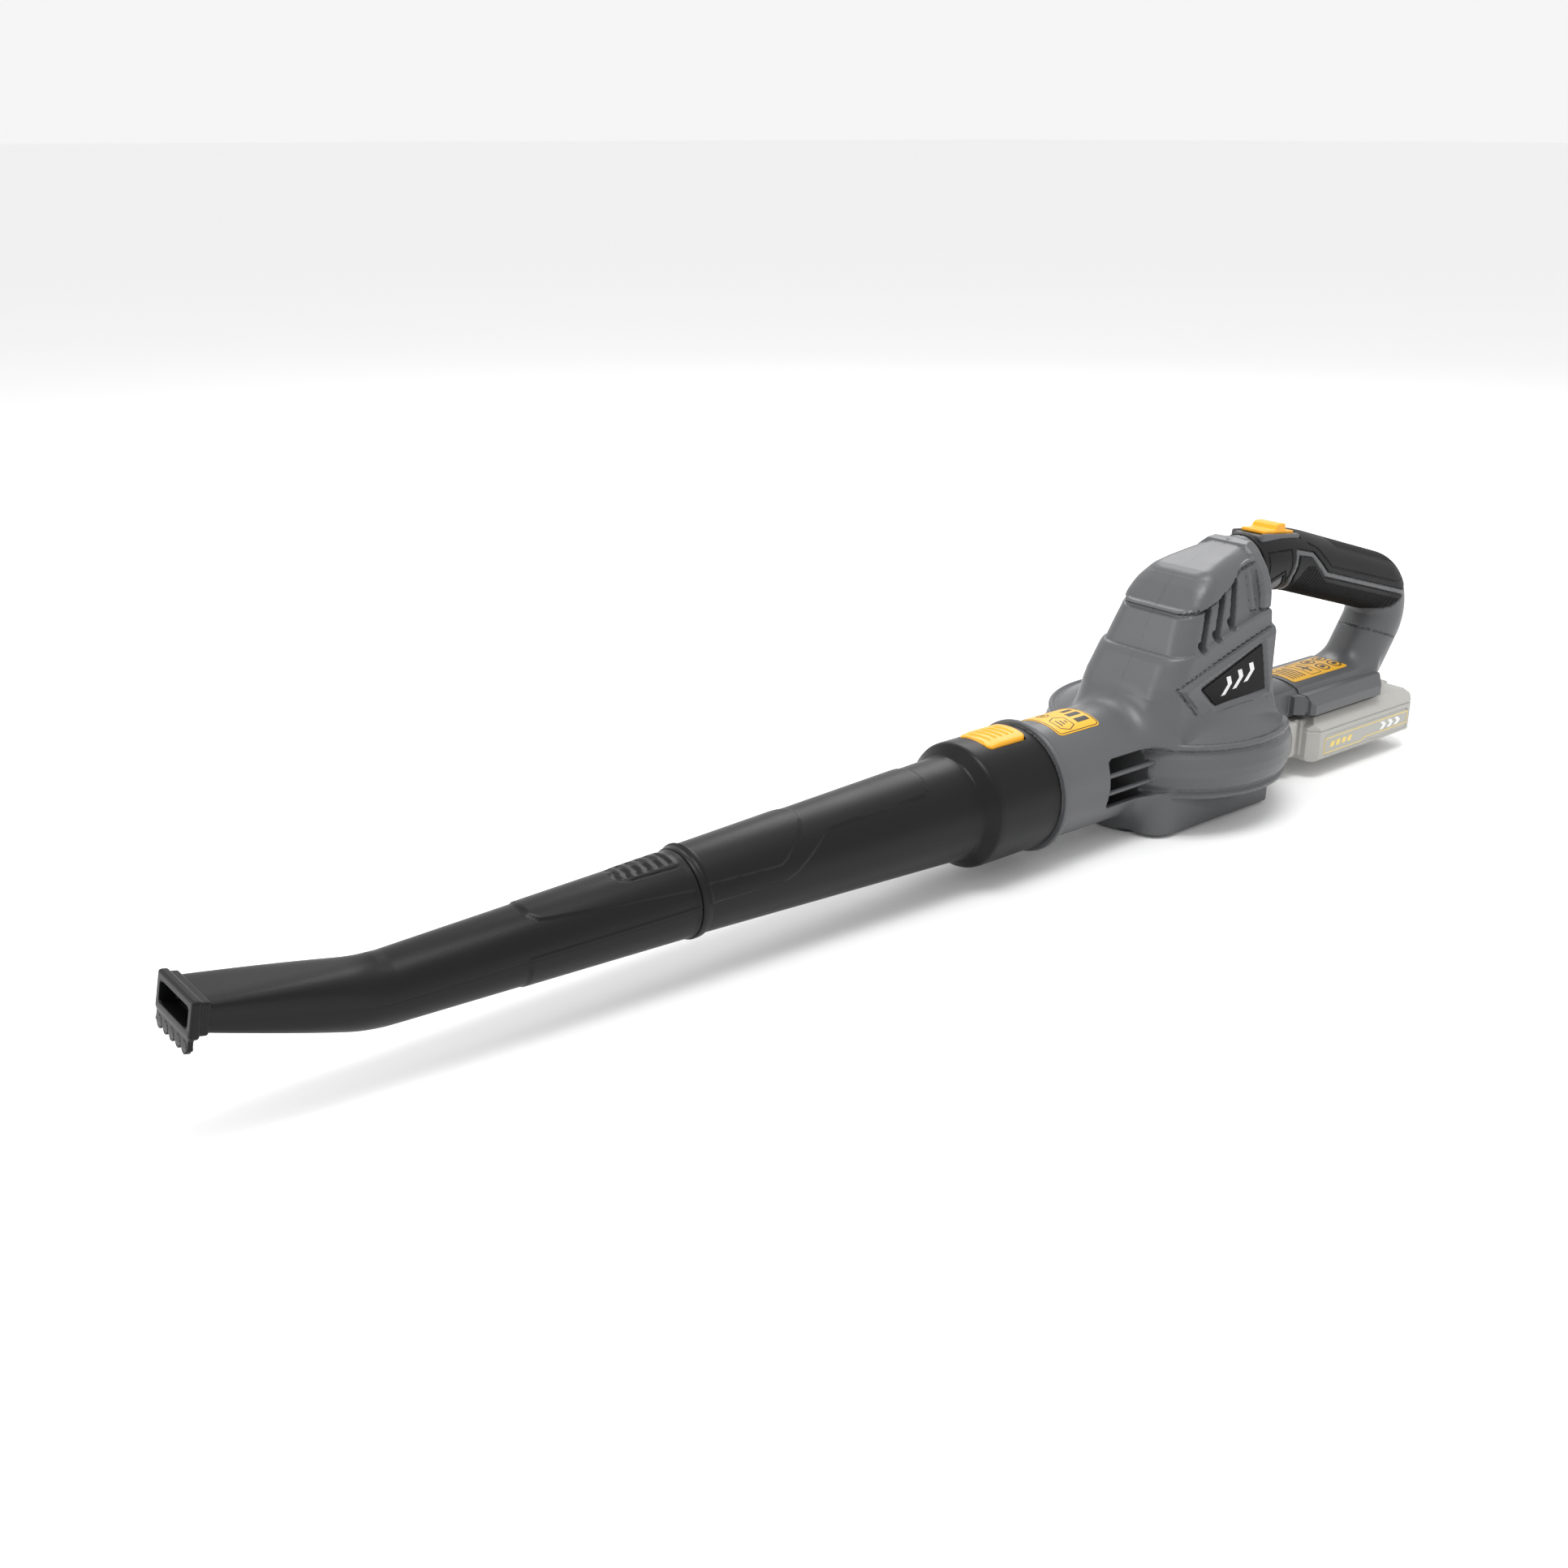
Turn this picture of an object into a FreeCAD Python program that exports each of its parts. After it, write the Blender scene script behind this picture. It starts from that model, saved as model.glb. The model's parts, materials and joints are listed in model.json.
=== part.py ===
import FreeCAD, Part
import math
import os
import re

import Sketcher
from FreeCAD import Rotation, Vector

# Hand-held cordless leaf blower. Millimetres.
# +X runs back to the handle, -X out of the nozzle, +Z up. The origin lies on the air tube's axis,
# at the front face of the housing's outlet flange.

doc = FreeCAD.newDocument("LeafBlower")

SIZES = {
    # air tubes
    "wall": 2.0,
    "fit_gap": 0.4,
    "collar_rad": 40.0,
    "collar_len": 54.6,
    "collar_bore": 38.0,
    "chamfer_len": 5.6,
    "tube_rear_rad": 32.8,
    "tube_front_rad": 24.4,
    "tube_front_at": -264.0,
    "bead_rad": 26.0,
    "bead_len": 5.0,
    "socket_len": 36.0,
    "socket_rad": 21.8,
    "socket_end_rad": 20.6,
    # nozzle
    "nozzle_rear_rad": 24.2,
    "bend_at": -427.0,
    "bend_rad": 19.2,
    "tip_at": -538.0,
    "nozzle_tilt": 12.3,
    "mouth_half_width": 19.4,
    "mouth_half_height": 7.2,
    "lip_len": 5.0,
    "lip_proud": 2.0,
    "scraper_drop": 9.0,
    "tooth_rad": 3.2,
    # tube release button
    "button_len": 28.0,
    "button_half_width": 14.0,
    "button_mid": -22.0,
    "button_proud": 1.6,
    "button_travel": 1.5,
    "button_under": 38.4,
    # outlet of the housing
    "spigot_rad": 37.6,
    "spigot_bore": 35.2,
    "spigot_len": 46.0,
    "flange_rad": 43.2,
    "flange_len": 3.5,
    "outlet_rad": 38.8,
    "outlet_bore": 36.2,
    "outlet_end": 100.0,
    "duct_end": 84.0,
    # fan casing
    "fan_axis_x": 158.0,
    "fan_axis_y": 10.0,
    "volute_rad": 84.5,
    "volute_edge_rad": 79.5,
    "volute_top": 15.0,
    "volute_bottom": -17.0,
    "shoulder_rad": 46.0,
    "shoulder_top": 34.0,
    "floor_rad": 47.0,
    "floor_at": -42.0,
    "shell": 2.5,
    "deck_under": 12.0,
    "deck_top": 14.5,
    "deck_hole": 24.0,
    # base with the air intake
    "base_at": -46.0,
    "base_front": 112.0,
    "base_rear": 216.0,
    "base_half_width": 38.0,
    "base_corner": 10.0,
    "foot_at": -48.0,
    "front_foot_x": 111.0,
    "front_foot_rad": 29.0,
    "intake_rad": 29.0,
    "guard_rad": 34.0,
    "guard_thick": 2.4,
    "guard_slot": 3.0,
    "guard_pitch": 6.0,
    "guard_screw_at": 31.0,
    "rear_foot_rad": 6.0,
    "rear_foot_x": 207.0,
    "rear_foot_y": 29.0,
    # handle
    "core_rad": 19.2,
    "core_bore": 16.4,
    "grip_rad": 21.3,
    # battery receiver
    "bridge_front": 190.0,
    "receiver_front": 262.0,
    "receiver_rear": 358.0,
    "receiver_half_width": 22.0,
    "receiver_bottom": -3.0,
    "crown_top": 21.5,
    "crown_rad": 56.0,
    "rail_half_width": 36.0,
    "rail_front": 254.0,
    "rail_rear": 353.0,
    "rail_top": 14.0,
    "rail_bottom": 1.0,
    "slot_half_width": 18.2,
    "slot_neck": 14.4,
    "slot_top": 15.0,
    "slot_ledge": 3.0,
    # battery pack
    "pack_front": 264.5,
    "pack_rear": 392.0,
    "pack_half_width": 38.0,
    "pack_bottom": -35.0,
    "pack_split": -19.0,
    "pack_top": -3.5,
    "pack_corner": 6.0,
    "nose_front": 247.0,
    "nose_half_width": 27.0,
    "pack_wall": 2.2,
    "head_front": 273.0,
    "head_rear": 350.0,
    "head_half_width": 17.7,
    "head_neck": 13.9,
    "head_top": 14.2,
    "head_under": 3.5,
    "cell_rad": 9.2,
    "cell_len": 65.0,
    "cell_pitch": 19.6,
    "cell_first": 289.0,
    "cell_at": -22.5,
    "cell_count": 5,
    "latch_half_width": 12.0,
    "blade_pitch": 8.0,
    # fan and motor
    "fan_rad": 57.0,
    "fan_top": 7.0,
    "fan_bottom": -21.0,
    "fan_plate": 2.0,
    "hub_rad": 9.0,
    "vane_thick": 1.6,
    "vane_inner": 25.0,
    "vane_sweep": 38.0,
    "vane_count": 11,
    "shaft_rad": 2.5,
    "shaft_clear": 0.05,
    "shaft_bottom": -27.0,
    "shaft_top": 90.0,
    "plate_rad": 34.0,
    "plate_thick": 3.0,
    "can_rad": 19.5,
    "can_top": 80.0,
    "can_wall": 1.4,
    "can_floor": 2.0,
    "bearing_rad": 6.5,
    "bearing_len": 4.0,
    "magnet_bore": 14.0,
    "rotor_rad": 13.2,
    "rotor_bottom": 28.0,
    "rotor_top": 72.0,
    "cap_top": 87.0,
    # slide switch
    "switch_x": 237.0,
    "switch_z": 130.6,
    "switch_tilt": 7.0,
    "switch_travel": 8.0,
    "switch_half_len": 16.0,
    "switch_half_width": 10.4,
    "switch_plate": 2.4,
    "switch_tab": 7.0,
    # fasteners and leads
    "screw_rad": 1.8,
    "screw_hole": 2.1,
    "screw_head": 3.4,
    "screw_head_len": 2.6,
    "boss_rad": 4.4,
    "lead_rad": 1.5,
    "lead_side": 5.0,
    "label_thick": 0.3,
    "badge_face": 41.2,
    "badge_thick": 1.3,
}

# Hood sections from the bottom up: height, front, rear, half width, corner.
HOOD = {
    "skirt": (16.0, 92.0, 214.0, 44.0, 20.0),
    "waist": (45.0, 93.5, 206.0, 40.0, 18.0),
    "shelf": (66.0, 101.0, 203.0, 38.0, 17.0),
    "step": (72.0, 110.0, 202.0, 36.0, 16.0),
    "groove": (96.0, 121.5, 200.0, 31.0, 14.0),
    "brim": (101.0, 122.5, 199.0, 31.5, 14.0),
    "brow": (116.0, 138.0, 198.0, 27.0, 12.0),
    "crest": (126.0, 160.0, 197.0, 20.0, 9.0),
    "ridge": (131.5, 180.0, 198.0, 12.0, 3.0),
}
# Corners of the handle's centre line: x, z and the bend there.
HANDLE = {
    "handle_root": (176.0, 107.5, 0.0),
    "handle_top": (240.0, 114.5, 150.0),
    "handle_heel": (395.0, 68.0, 24.0),
    "handle_foot": (351.0, 5.0, 0.0),
}
# The edges of that line that each stretch of the handle covers.
STRETCHES = {"root": (0, 1), "palm": (1, 3), "neck": (3, 5), "all": (0, 5)}
# Housing screws: x, z, how far out on +Y the head sits and how far out its boss reaches.
SCREWS = {
    "front_screw": (116.0, 52.0, 30.0, 38.5),
    "brow_screw": (176.0, 118.5, 18.0, 21.5),
    "root_screw": (205.0, 100.0, 13.0, 14.0),
    "heel_screw": (379.5, 47.0, 13.0, 18.0),
    "bridge_screw": (249.0, 2.6, 13.0, 17.0),
    "foot_screw": (96.0, -40.8, 12.0, 16.0),
}
TABLES = (
    (HOOD, ("level", "front", "rear", "half", "corner")),
    (HANDLE, ("x", "z", "bend")),
    (SCREWS, ("x", "z", "head", "reach")),
)

WORDS = re.compile(r"[a-z][a-z_]+[a-z]")
NODES = {}


def fill_sheet():
    """Put every driving dimension in the sheet under its own alias."""
    for table, parts in TABLES:
        for name, numbers in table.items():
            for part, number in zip(parts, numbers):
                SIZES[f"{name}_{part}"] = number
    page = doc.addObject("Spreadsheet::Sheet", "Sizes")
    for row, (alias, number) in enumerate(SIZES.items(), start=1):
        page.set(f"A{row}", alias)
        page.set(f"B{row}", str(number))
        page.setAlias(f"B{row}", alias)
    doc.recompute()
    return page


SHEET = fill_sheet()


def linked(text):
    """The expression with each alias pointing at the sheet."""
    return WORDS.sub(lambda word: "Sizes." + word.group(0), str(text))


def measure(text):
    """The number that an expression of aliases gives now."""
    return float(SHEET.evalExpression(str(text)))


def bind(item, prop, value):
    """Bind one property to the sheet, or set it when it is a plain number."""
    if isinstance(value, str):
        item.setExpression(prop, linked(value))
    else:
        setattr(item, prop, value)


def seat(item, at=(0, 0, 0), turn=None):
    """Place an item; turn is an axis and an angle in degrees."""
    if turn:
        item.Placement = FreeCAD.Placement(Vector(), Rotation(Vector(*turn[0]), turn[1]))
    for axis, value in zip("xyz", at):
        item.setExpression(f".Placement.Base.{axis}", linked(value))


ALONG_X = ((0, 1, 0), 90)
ALONG_Y = ((1, 0, 0), -90)
FAN_AXIS = ("fan_axis_x", "fan_axis_y")


def solid(kind, name, at=(0, 0, 0), turn=None, **sizes):
    """A Part primitive bound to the sheet."""
    item = doc.addObject("Part::" + kind, name)
    for prop, value in sizes.items():
        bind(item, prop, value)
    seat(item, at, turn)
    return item


def box(name, low, high, turn=None, origin=None):
    """A box between two corners, which are counted from origin when it is turned."""
    spans = [f"({top}) - ({bottom})" for bottom, top in zip(low, high)]
    item = solid("Box", name, low, Length=spans[0], Width=spans[1], Height=spans[2])
    if turn is None:
        return item
    frame = FreeCAD.Placement(Vector(*map(measure, origin)), Rotation(Vector(*turn[0]), turn[1]))
    for axis in "xyz":
        item.setExpression(f".Placement.Base.{axis}", None)
    item.Placement = frame * FreeCAD.Placement(Vector(*map(measure, low)), Rotation())
    return item


def rod(name, at, radius, length, turn=None):
    return solid("Cylinder", name, at, turn, Radius=radius, Height=length)


def fuse(name, *shapes):
    item = doc.addObject("Part::MultiFuse", name)
    item.Shapes = list(shapes)
    return item


def cut(name, base, *tools):
    item = doc.addObject("Part::Cut", name)
    item.Base = base
    item.Tool = tools[0] if len(tools) == 1 else fuse(name + "_tools", *tools)
    return item


def common(name, *shapes):
    item = doc.addObject("Part::MultiCommon", name)
    item.Shapes = list(shapes)
    return item


def group(name, *shapes):
    """Separate solids kept together as one piece's file."""
    item = doc.addObject("Part::Compound", name)
    item.Links = list(shapes)
    return item


def made(name, shape):
    """A piece whose shape comes from Part's own functions."""
    item = doc.addObject("Part::Feature", name)
    item.Shape = shape
    return item


def node(label, item):
    """Name a finished piece; the label is its file's name."""
    item.Label = label
    NODES[label] = item
    return item


# ---------------------------------------------------------------- outlines with a dimension per corner


def draw(sketch, points):
    """Close a sketch through the points, each corner dimensioned from the origin."""
    corners = [Vector(measure(u), measure(v), 0) for u, v in points]
    for start, end in zip(corners, corners[1:] + corners[:1]):
        sketch.addGeometry(Part.LineSegment(start, end))
    for edge in range(len(points)):
        after = (edge + 1) % len(points)
        sketch.addConstraint(Sketcher.Constraint("Coincident", edge, 2, after, 1))
    for edge, (point, corner) in enumerate(zip(points, corners)):
        for kind, text, number in zip(("DistanceX", "DistanceY"), point, corner):
            place = sketch.addConstraint(Sketcher.Constraint(kind, -1, 1, edge, 1, number))
            sketch.setExpression(f"Constraints[{place}]", linked(text))


def outline(body, name, role, points):
    """A closed sketch on one of the body's own origin planes."""
    sketch = body.newObject("Sketcher::SketchObject", name)
    sketch.AttachmentSupport = [(next(f for f in body.Origin.OriginFeatures if f.Role == role), "")]
    sketch.MapMode = "FlatFace"
    draw(sketch, points)
    return sketch


def turned(name, axis, points, at=(0, 0, 0)):
    """A body turned from an outline on the XZ plane about one of its axes."""
    body = doc.addObject("PartDesign::Body", name)
    sketch = outline(body, name + "_outline", "XZ_Plane", points)
    turn = body.newObject("PartDesign::Revolution", name + "_turn")
    turn.Profile = sketch
    turn.ReferenceAxis = (sketch, [axis])
    turn.Angle = 360
    seat(body, at)
    return body


def turned_x(name, points):
    """Turned about the tube axis; points are (x, radius)."""
    return turned(name, "H_Axis", points)


def turned_z(name, points):
    """Turned about the fan axis; points are (radius, z)."""
    return turned(name, "V_Axis", points, (*FAN_AXIS, 0))


def padded(name, role, points, length, at=(0, 0, 0)):
    """A body padded from an outline, half to each side of its plane."""
    body = doc.addObject("PartDesign::Body", name)
    sketch = outline(body, name + "_outline", role, points)
    pad = body.newObject("PartDesign::Pad", name + "_pad")
    pad.Profile = sketch
    pad.Midplane = True
    bind(pad, "Length", length)
    seat(body, at)
    return body


def eight_corners(front, rear, left, right, corner):
    """A rectangle with its corners cut off, as outline points."""
    return [
        (f"{front} + {corner}", left),
        (f"{rear} - {corner}", left),
        (rear, f"{left} + {corner}"),
        (rear, f"{right} - {corner}"),
        (f"{rear} - {corner}", right),
        (f"{front} + {corner}", right),
        (front, f"{right} - {corner}"),
        (front, f"{left} + {corner}"),
    ]


def level_sketch(name, level, points):
    """A sketch lying at a height, for a loft."""
    sketch = doc.addObject("Sketcher::SketchObject", name)
    draw(sketch, points)
    seat(sketch, (0, 0, level))
    return sketch


def lofted(name, sections):
    item = doc.addObject("Part::Loft", name)
    item.Sections = sections
    item.Solid = True
    item.Ruled = True
    return item


# ---------------------------------------------------------------- air tubes


def make_rear_tube():
    shell = turned_x("rear_tube_shell", [
        ("tube_front_at - socket_len", "socket_end_rad"),
        ("tube_front_at", "socket_rad"),
        ("tube_front_at", "bead_rad"),
        ("tube_front_at + bead_len", "bead_rad"),
        ("tube_front_at + bead_len + 1", "tube_front_rad + 0.3"),
        ("-collar_len - chamfer_len", "tube_rear_rad"),
        ("-collar_len", "collar_rad"),
        ("-fit_gap", "collar_rad"),
        ("-fit_gap", "collar_bore"),
        ("-spigot_len - 2", "collar_bore"),
        ("-spigot_len - 5", "tube_rear_rad - wall"),
        ("tube_front_at", "socket_rad - 1.7"),
        ("tube_front_at - socket_len", "socket_end_rad - 1.7"),
    ])
    half = "button_len / 2 + fit_gap"
    side = "button_half_width + fit_gap"
    window = box(
        "button_window",
        (f"button_mid - ({half})", f"-({side})", 20),
        (f"button_mid + {half}", side, "collar_rad + 5"),
    )
    node("rear_tube", cut("rear_tube_part", shell, window))


def make_release_button():
    """A curved cap in the collar's window, standing a little proud of it."""
    front = "button_mid - button_len / 2"
    skin = rod("button_skin", (front, 0, 0), "collar_rad + button_proud", "button_len", ALONG_X)
    block = box(
        "button_block",
        (front, "-button_half_width", 20),
        (f"{front} + button_len", "button_half_width", "collar_rad + 5"),
    )
    under = rod("button_bore", (f"{front} - 1", 0, 0), "button_under", "button_len + 2", ALONG_X)
    node("tube_release_button", cut("button_cap", common("button_form", skin, block), under))


def cross_section(centre, lean, half_width, half_height, squareness):
    """A closed curve across the duct: a circle at squareness 2, close to a rectangle at 6."""
    across = Vector(0, 1, 0)
    up = Vector(math.sin(lean), 0, math.cos(lean))
    power = 2 / squareness
    points = []
    for step in range(40):
        turn = 2 * math.pi * step / 40
        side = math.copysign(abs(math.cos(turn)) ** power, math.cos(turn))
        rise = math.copysign(abs(math.sin(turn)) ** power, math.sin(turn))
        points.append(centre + across * (side * half_width) + up * (rise * half_height))
    curve = Part.BSplineCurve()
    curve.interpolate(Points=points, PeriodicFlag=True)
    return Part.Wire(curve.toShape())


def tip_placement():
    """Where the middle of the mouth is and how the tip leans."""
    lean = measure("nozzle_tilt")
    tip_x = measure("tip_at")
    rise = (measure("bend_at") - tip_x) * math.tan(math.radians(lean))
    return FreeCAD.Placement(Vector(tip_x, 0, rise), Rotation(Vector(0, 1, 0), lean))


def duct(inset, extra):
    """The nozzle's duct from round to flat, drawn in by inset and longer by extra at both ends."""
    lean = math.radians(measure("nozzle_tilt"))
    tip = tip_placement().Base
    ahead = Vector(-math.cos(lean), 0, math.sin(lean))
    rear = measure("nozzle_rear_rad")
    round_rad = measure("bend_rad")
    flat = measure("mouth_half_height")
    bend = Vector(measure("bend_at"), 0, 0)
    run = bend.distanceToPoint(tip)
    sections = [
        (Vector(measure("tube_front_at - fit_gap") + extra, 0, 0), 0.0, rear, rear, 2.0),
        (bend + Vector(14, 0, 0), 0.0, round_rad + 0.4, round_rad + 0.4, 2.0),
        (bend, lean / 2, round_rad, round_rad, 2.0),
    ]
    for share in (0.12, 0.3, 0.5, 0.75, 1.0):
        centre = bend + ahead * (run * share + (extra if share == 1.0 else 0.0))
        half_height = round_rad + (flat - round_rad) * share
        half_width = round_rad + (measure("mouth_half_width") - round_rad) * share
        sections.append((centre, lean, half_width, half_height, 2 + 4 * share))
    wires = []
    for centre, tilt, half_width, half_height, squareness in sections:
        wires.append(cross_section(centre, tilt, half_width - inset, half_height - inset, squareness))
    return Part.makeLoft(wires, True, True)


def make_nozzle():
    """Round to flat duct with a raised lip, a toothed scraper under the mouth and a ribbed pad."""
    wide = measure("mouth_half_width") + measure("lip_proud")
    flat = measure("mouth_half_height") + measure("lip_proud")
    lip_len = measure("lip_len")
    tooth = measure("tooth_rad")
    drop = measure("scraper_drop")

    lip = Part.makeBox(lip_len, 2 * wide, 2 * flat, Vector(0, -wide, -flat))
    lip = lip.makeFillet(3.0, [edge for edge in lip.Edges if abs(edge.tangentAt(0).x) > 0.9])
    plate = Part.makeBox(2.4, 2 * wide - 2, drop, Vector(0, -wide + 1, -flat - drop + tooth))
    pitch = (2 * wide - 2) / 5
    scraper = plate
    for tooth_at in range(5):
        across = -wide + 1 + pitch * (tooth_at + 0.5)
        scraper = scraper.fuse(
            Part.makeCylinder(tooth, 2.4, Vector(0, across, -flat - drop + tooth), Vector(1, 0, 0))
        )
    for side in (-wide + 1.6, wide - 3.4):
        brace = Part.makePolygon([Vector(0, side, -flat + 1), Vector(0, side, -flat - drop + 3),
                                  Vector(15, side, -flat + 3.5), Vector(0, side, -flat + 1)])
        scraper = scraper.fuse(Part.Face(brace).extrude(Vector(0, 1.8, 0)))
    front = lip.fuse(scraper)
    front.Placement = tip_placement()
    pad = Part.makeBox(36, 20, 6, Vector(-308, -10, 17.5))
    outside = duct(0.0, 0.0).fuse([front, pad])
    bore = duct(measure("wall"), 3.0)
    shell = outside.cut(bore)
    node("nozzle_tube", made("nozzle_part", shell))


# ---------------------------------------------------------------- housing


def bent_wire(points, bends):
    """Straight runs joined by tangent arcs."""
    edges = []
    start = points[0]
    for before, corner, after, bend in zip(points, points[1:], points[2:], bends):
        back = (before - corner).normalize()
        ahead = (after - corner).normalize()
        half = back.getAngle(ahead) / 2
        enter = corner + back * (bend / math.tan(half))
        leave = corner + ahead * (bend / math.tan(half))
        centre = corner + (back + ahead).normalize() * (bend / math.sin(half))
        middle = centre + (corner - centre).normalize() * bend
        edges.append(Part.LineSegment(start, enter).toShape())
        edges.append(Part.Arc(enter, middle, leave).toShape())
        start = leave
    edges.append(Part.LineSegment(start, points[-1]).toShape())
    return edges


def handle_pipe(name, stretch, outer, inner):
    """A tube along one stretch of the handle."""
    corners = [Vector(measure(f"{corner}_x"), 0, measure(f"{corner}_z")) for corner in HANDLE]
    bends = [measure(f"{corner}_bend") for corner in HANDLE][1:-1]
    first, last = STRETCHES[stretch]
    path = bent_wire(corners, bends)[first:last]
    start = path[0].valueAt(path[0].FirstParameter)
    along = path[0].tangentAt(path[0].FirstParameter)
    discs = [Part.Face(Part.Wire(Part.makeCircle(measure(radius), start, along)))
             for radius in (outer, inner)]
    ring = discs[0].cut(discs[1]).Faces[0]
    return made(name, Part.Wire(path).makePipe(ring))


def hood(name, inset):
    """The motor hood as a loft through its sections, drawn in by inset."""
    sections = []
    for part in HOOD:
        points = eight_corners(
            f"{part}_front + {inset}", f"{part}_rear - {inset}",
            f"-{part}_half + {inset}", f"{part}_half - {inset}", f"{part}_corner",
        )
        sections.append(level_sketch(f"{name}_{part}", f"{part}_level - {inset} / 2", points))
    return lofted(name, sections)


def fan_casing():
    """The fan's round casing, its fan chamber and the motor space above the deck."""
    outer = turned_z("casing_outer", [
        (0, "floor_at"),
        ("floor_rad", "floor_at"),
        ("volute_edge_rad", "volute_bottom"),
        ("volute_rad", "volute_bottom + 9"),
        ("volute_rad", "volute_top - 8"),
        ("volute_edge_rad", "volute_top"),
        ("shoulder_rad", "shoulder_top"),
        (0, "shoulder_top"),
    ])
    chamber = turned_z("fan_chamber", [
        (0, "floor_at + shell"),
        ("floor_rad - 1", "floor_at + shell"),
        ("volute_edge_rad - shell", "volute_bottom + shell"),
        ("volute_rad - shell", "volute_bottom + 10"),
        ("volute_rad - shell", "volute_top - 9"),
        ("volute_edge_rad - 3.5", "deck_under"),
        (0, "deck_under"),
    ])
    motor_space = turned_z("motor_space", [
        (0, "deck_top"),
        ("volute_edge_rad - 12", "deck_top"),
        ("shoulder_rad - 1", "shoulder_top - shell - 1"),
        (0, "shoulder_top - shell - 1"),
    ])
    return outer, chamber, motor_space


def receiver():
    """Crowned battery receiver with a side rail on each flank."""
    crown = rod("crown", ("bridge_front", 0, "crown_top - crown_rad"), "crown_rad",
                "receiver_rear - bridge_front", ALONG_X)
    block = box("receiver_block", ("bridge_front", "-receiver_half_width", "receiver_bottom"),
                ("receiver_rear", "receiver_half_width", "crown_top + 1"))
    top = common("receiver_crown", crown, block)
    rails = padded("rails", "YZ_Plane", [
        ("-rail_half_width", "rail_bottom"),
        ("rail_half_width", "rail_bottom"),
        ("rail_half_width", "rail_top - 4"),
        ("receiver_half_width + 8", "rail_top"),
        ("-receiver_half_width - 8", "rail_top"),
        ("-rail_half_width", "rail_top - 4"),
    ], "rail_rear - rail_front", ("(rail_rear + rail_front) / 2", 0, 0))
    return top, rails


def battery_slot():
    """The T-shaped channel that the pack's head slides in."""
    end = "receiver_rear + 2"
    return [
        box("slot_neck_cut", ("receiver_front", "-slot_neck", "receiver_bottom - 1"),
            (end, "slot_neck", "slot_ledge + 1")),
        box("slot_head_cut", ("receiver_front", "-slot_half_width", "slot_ledge"),
            (end, "slot_half_width", "slot_top")),
        box("pack_clearance", ("receiver_front", "-pack_half_width - 1", "receiver_bottom - 1"),
            (end, "pack_half_width + 1", "receiver_bottom")),
    ]


def badge_outline(grow):
    """The four-sided badge, drawn out by grow."""
    return [
        (f"127 - 1.4 * {grow}", f"48.8 + 0.5 * {grow}"),
        (f"142.3 - 0.5 * {grow}", f"34.5 - {grow}"),
        (f"194.8 + {grow}", f"36.4 - {grow}"),
        (f"187 + {grow}", f"69.2 + 1.3 * {grow}"),
    ]


def make_badges():
    for side, sign in (("left", -1), ("right", 1)):
        plate = padded(f"badge_{side}_plate", "XZ_Plane", badge_outline(0), "badge_thick",
                       (0, f"{sign} * (badge_face - badge_thick / 2)", 0))
        node(f"badge_{side}", plate)


def housing_tools():
    """Everything that is cut from the housing."""
    tools = [
        rod("spigot_bore_cut", ("-spigot_len - 1", 0, 0), "spigot_bore", "spigot_len + 1", ALONG_X),
        rod("outlet_bore_cut", ("-0.5", 0, 0), "outlet_bore", "duct_end + 0.5", ALONG_X),
        rod("intake_cut", (*FAN_AXIS, "base_at - 1"), "intake_rad", "12"),
        rod("guard_seat", (*FAN_AXIS, "base_at - 1"), "guard_rad + 0.2", "guard_thick + 1"),
        rod("deck_cut", (*FAN_AXIS, "deck_under - 1"), "deck_hole", "deck_top - deck_under + 2"),
    ]
    drop = "button_travel + fit_gap"
    pocket = box("button_pocket_block", ("-spigot_len - 1", "-button_half_width - 1", 20),
                 ("-4", "button_half_width + 1", "collar_rad"))
    below = rod("button_pocket_floor", ("-spigot_len - 2", 0, f"-({drop})"), "button_under",
                "spigot_len", ALONG_X)
    tools.append(cut("button_pocket", pocket, below))
    for place, (at, level) in enumerate(((143.0, 84.0), (158.5, 88.5), (174.0, 94.0))):
        tools.append(box(f"vent_{place}", (-2.6, -60, -12.5), (2.6, 60, 12.5), ((0, 1, 0), 17),
                         (at, 0, level)))
    turn = ((0, 1, 0), measure("switch_tilt"))
    origin = ("switch_x", 0, "switch_z")
    tools.append(box("switch_seat",
                     ("-switch_half_len - switch_travel - fit_gap", "-switch_half_width - fit_gap", "-fit_gap"),
                     ("switch_half_len + fit_gap", "switch_half_width + fit_gap", 20), turn, origin))
    tools.append(box("stem_slot", ("-6 - switch_travel", -3, -14), (6, 3, 2), turn, origin))
    tools.append(box("lead_channel_rear", (243, -8, 8), ("receiver_front + 1", 8, 19.2)))
    tools.append(box("lead_channel", (190, -8, "deck_top + 1"), (244, 8, 19.2)))
    for side in (-1, 1):
        recess = padded(f"badge_seat_{side + 1}", "XZ_Plane", badge_outline(0.25), 10,
                        (0, f"{side} * (badge_face - badge_thick + 5)", 0))
        tools.append(recess)
    for side in (-1, 1):
        at = ("rear_foot_x", f"fan_axis_y + {side} * rear_foot_y", "base_at - 1")
        tools.append(rod(f"foot_socket_{side + 1}", at, "rear_foot_rad / 2", 4))
    tools.extend(battery_slot())
    return tools


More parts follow.
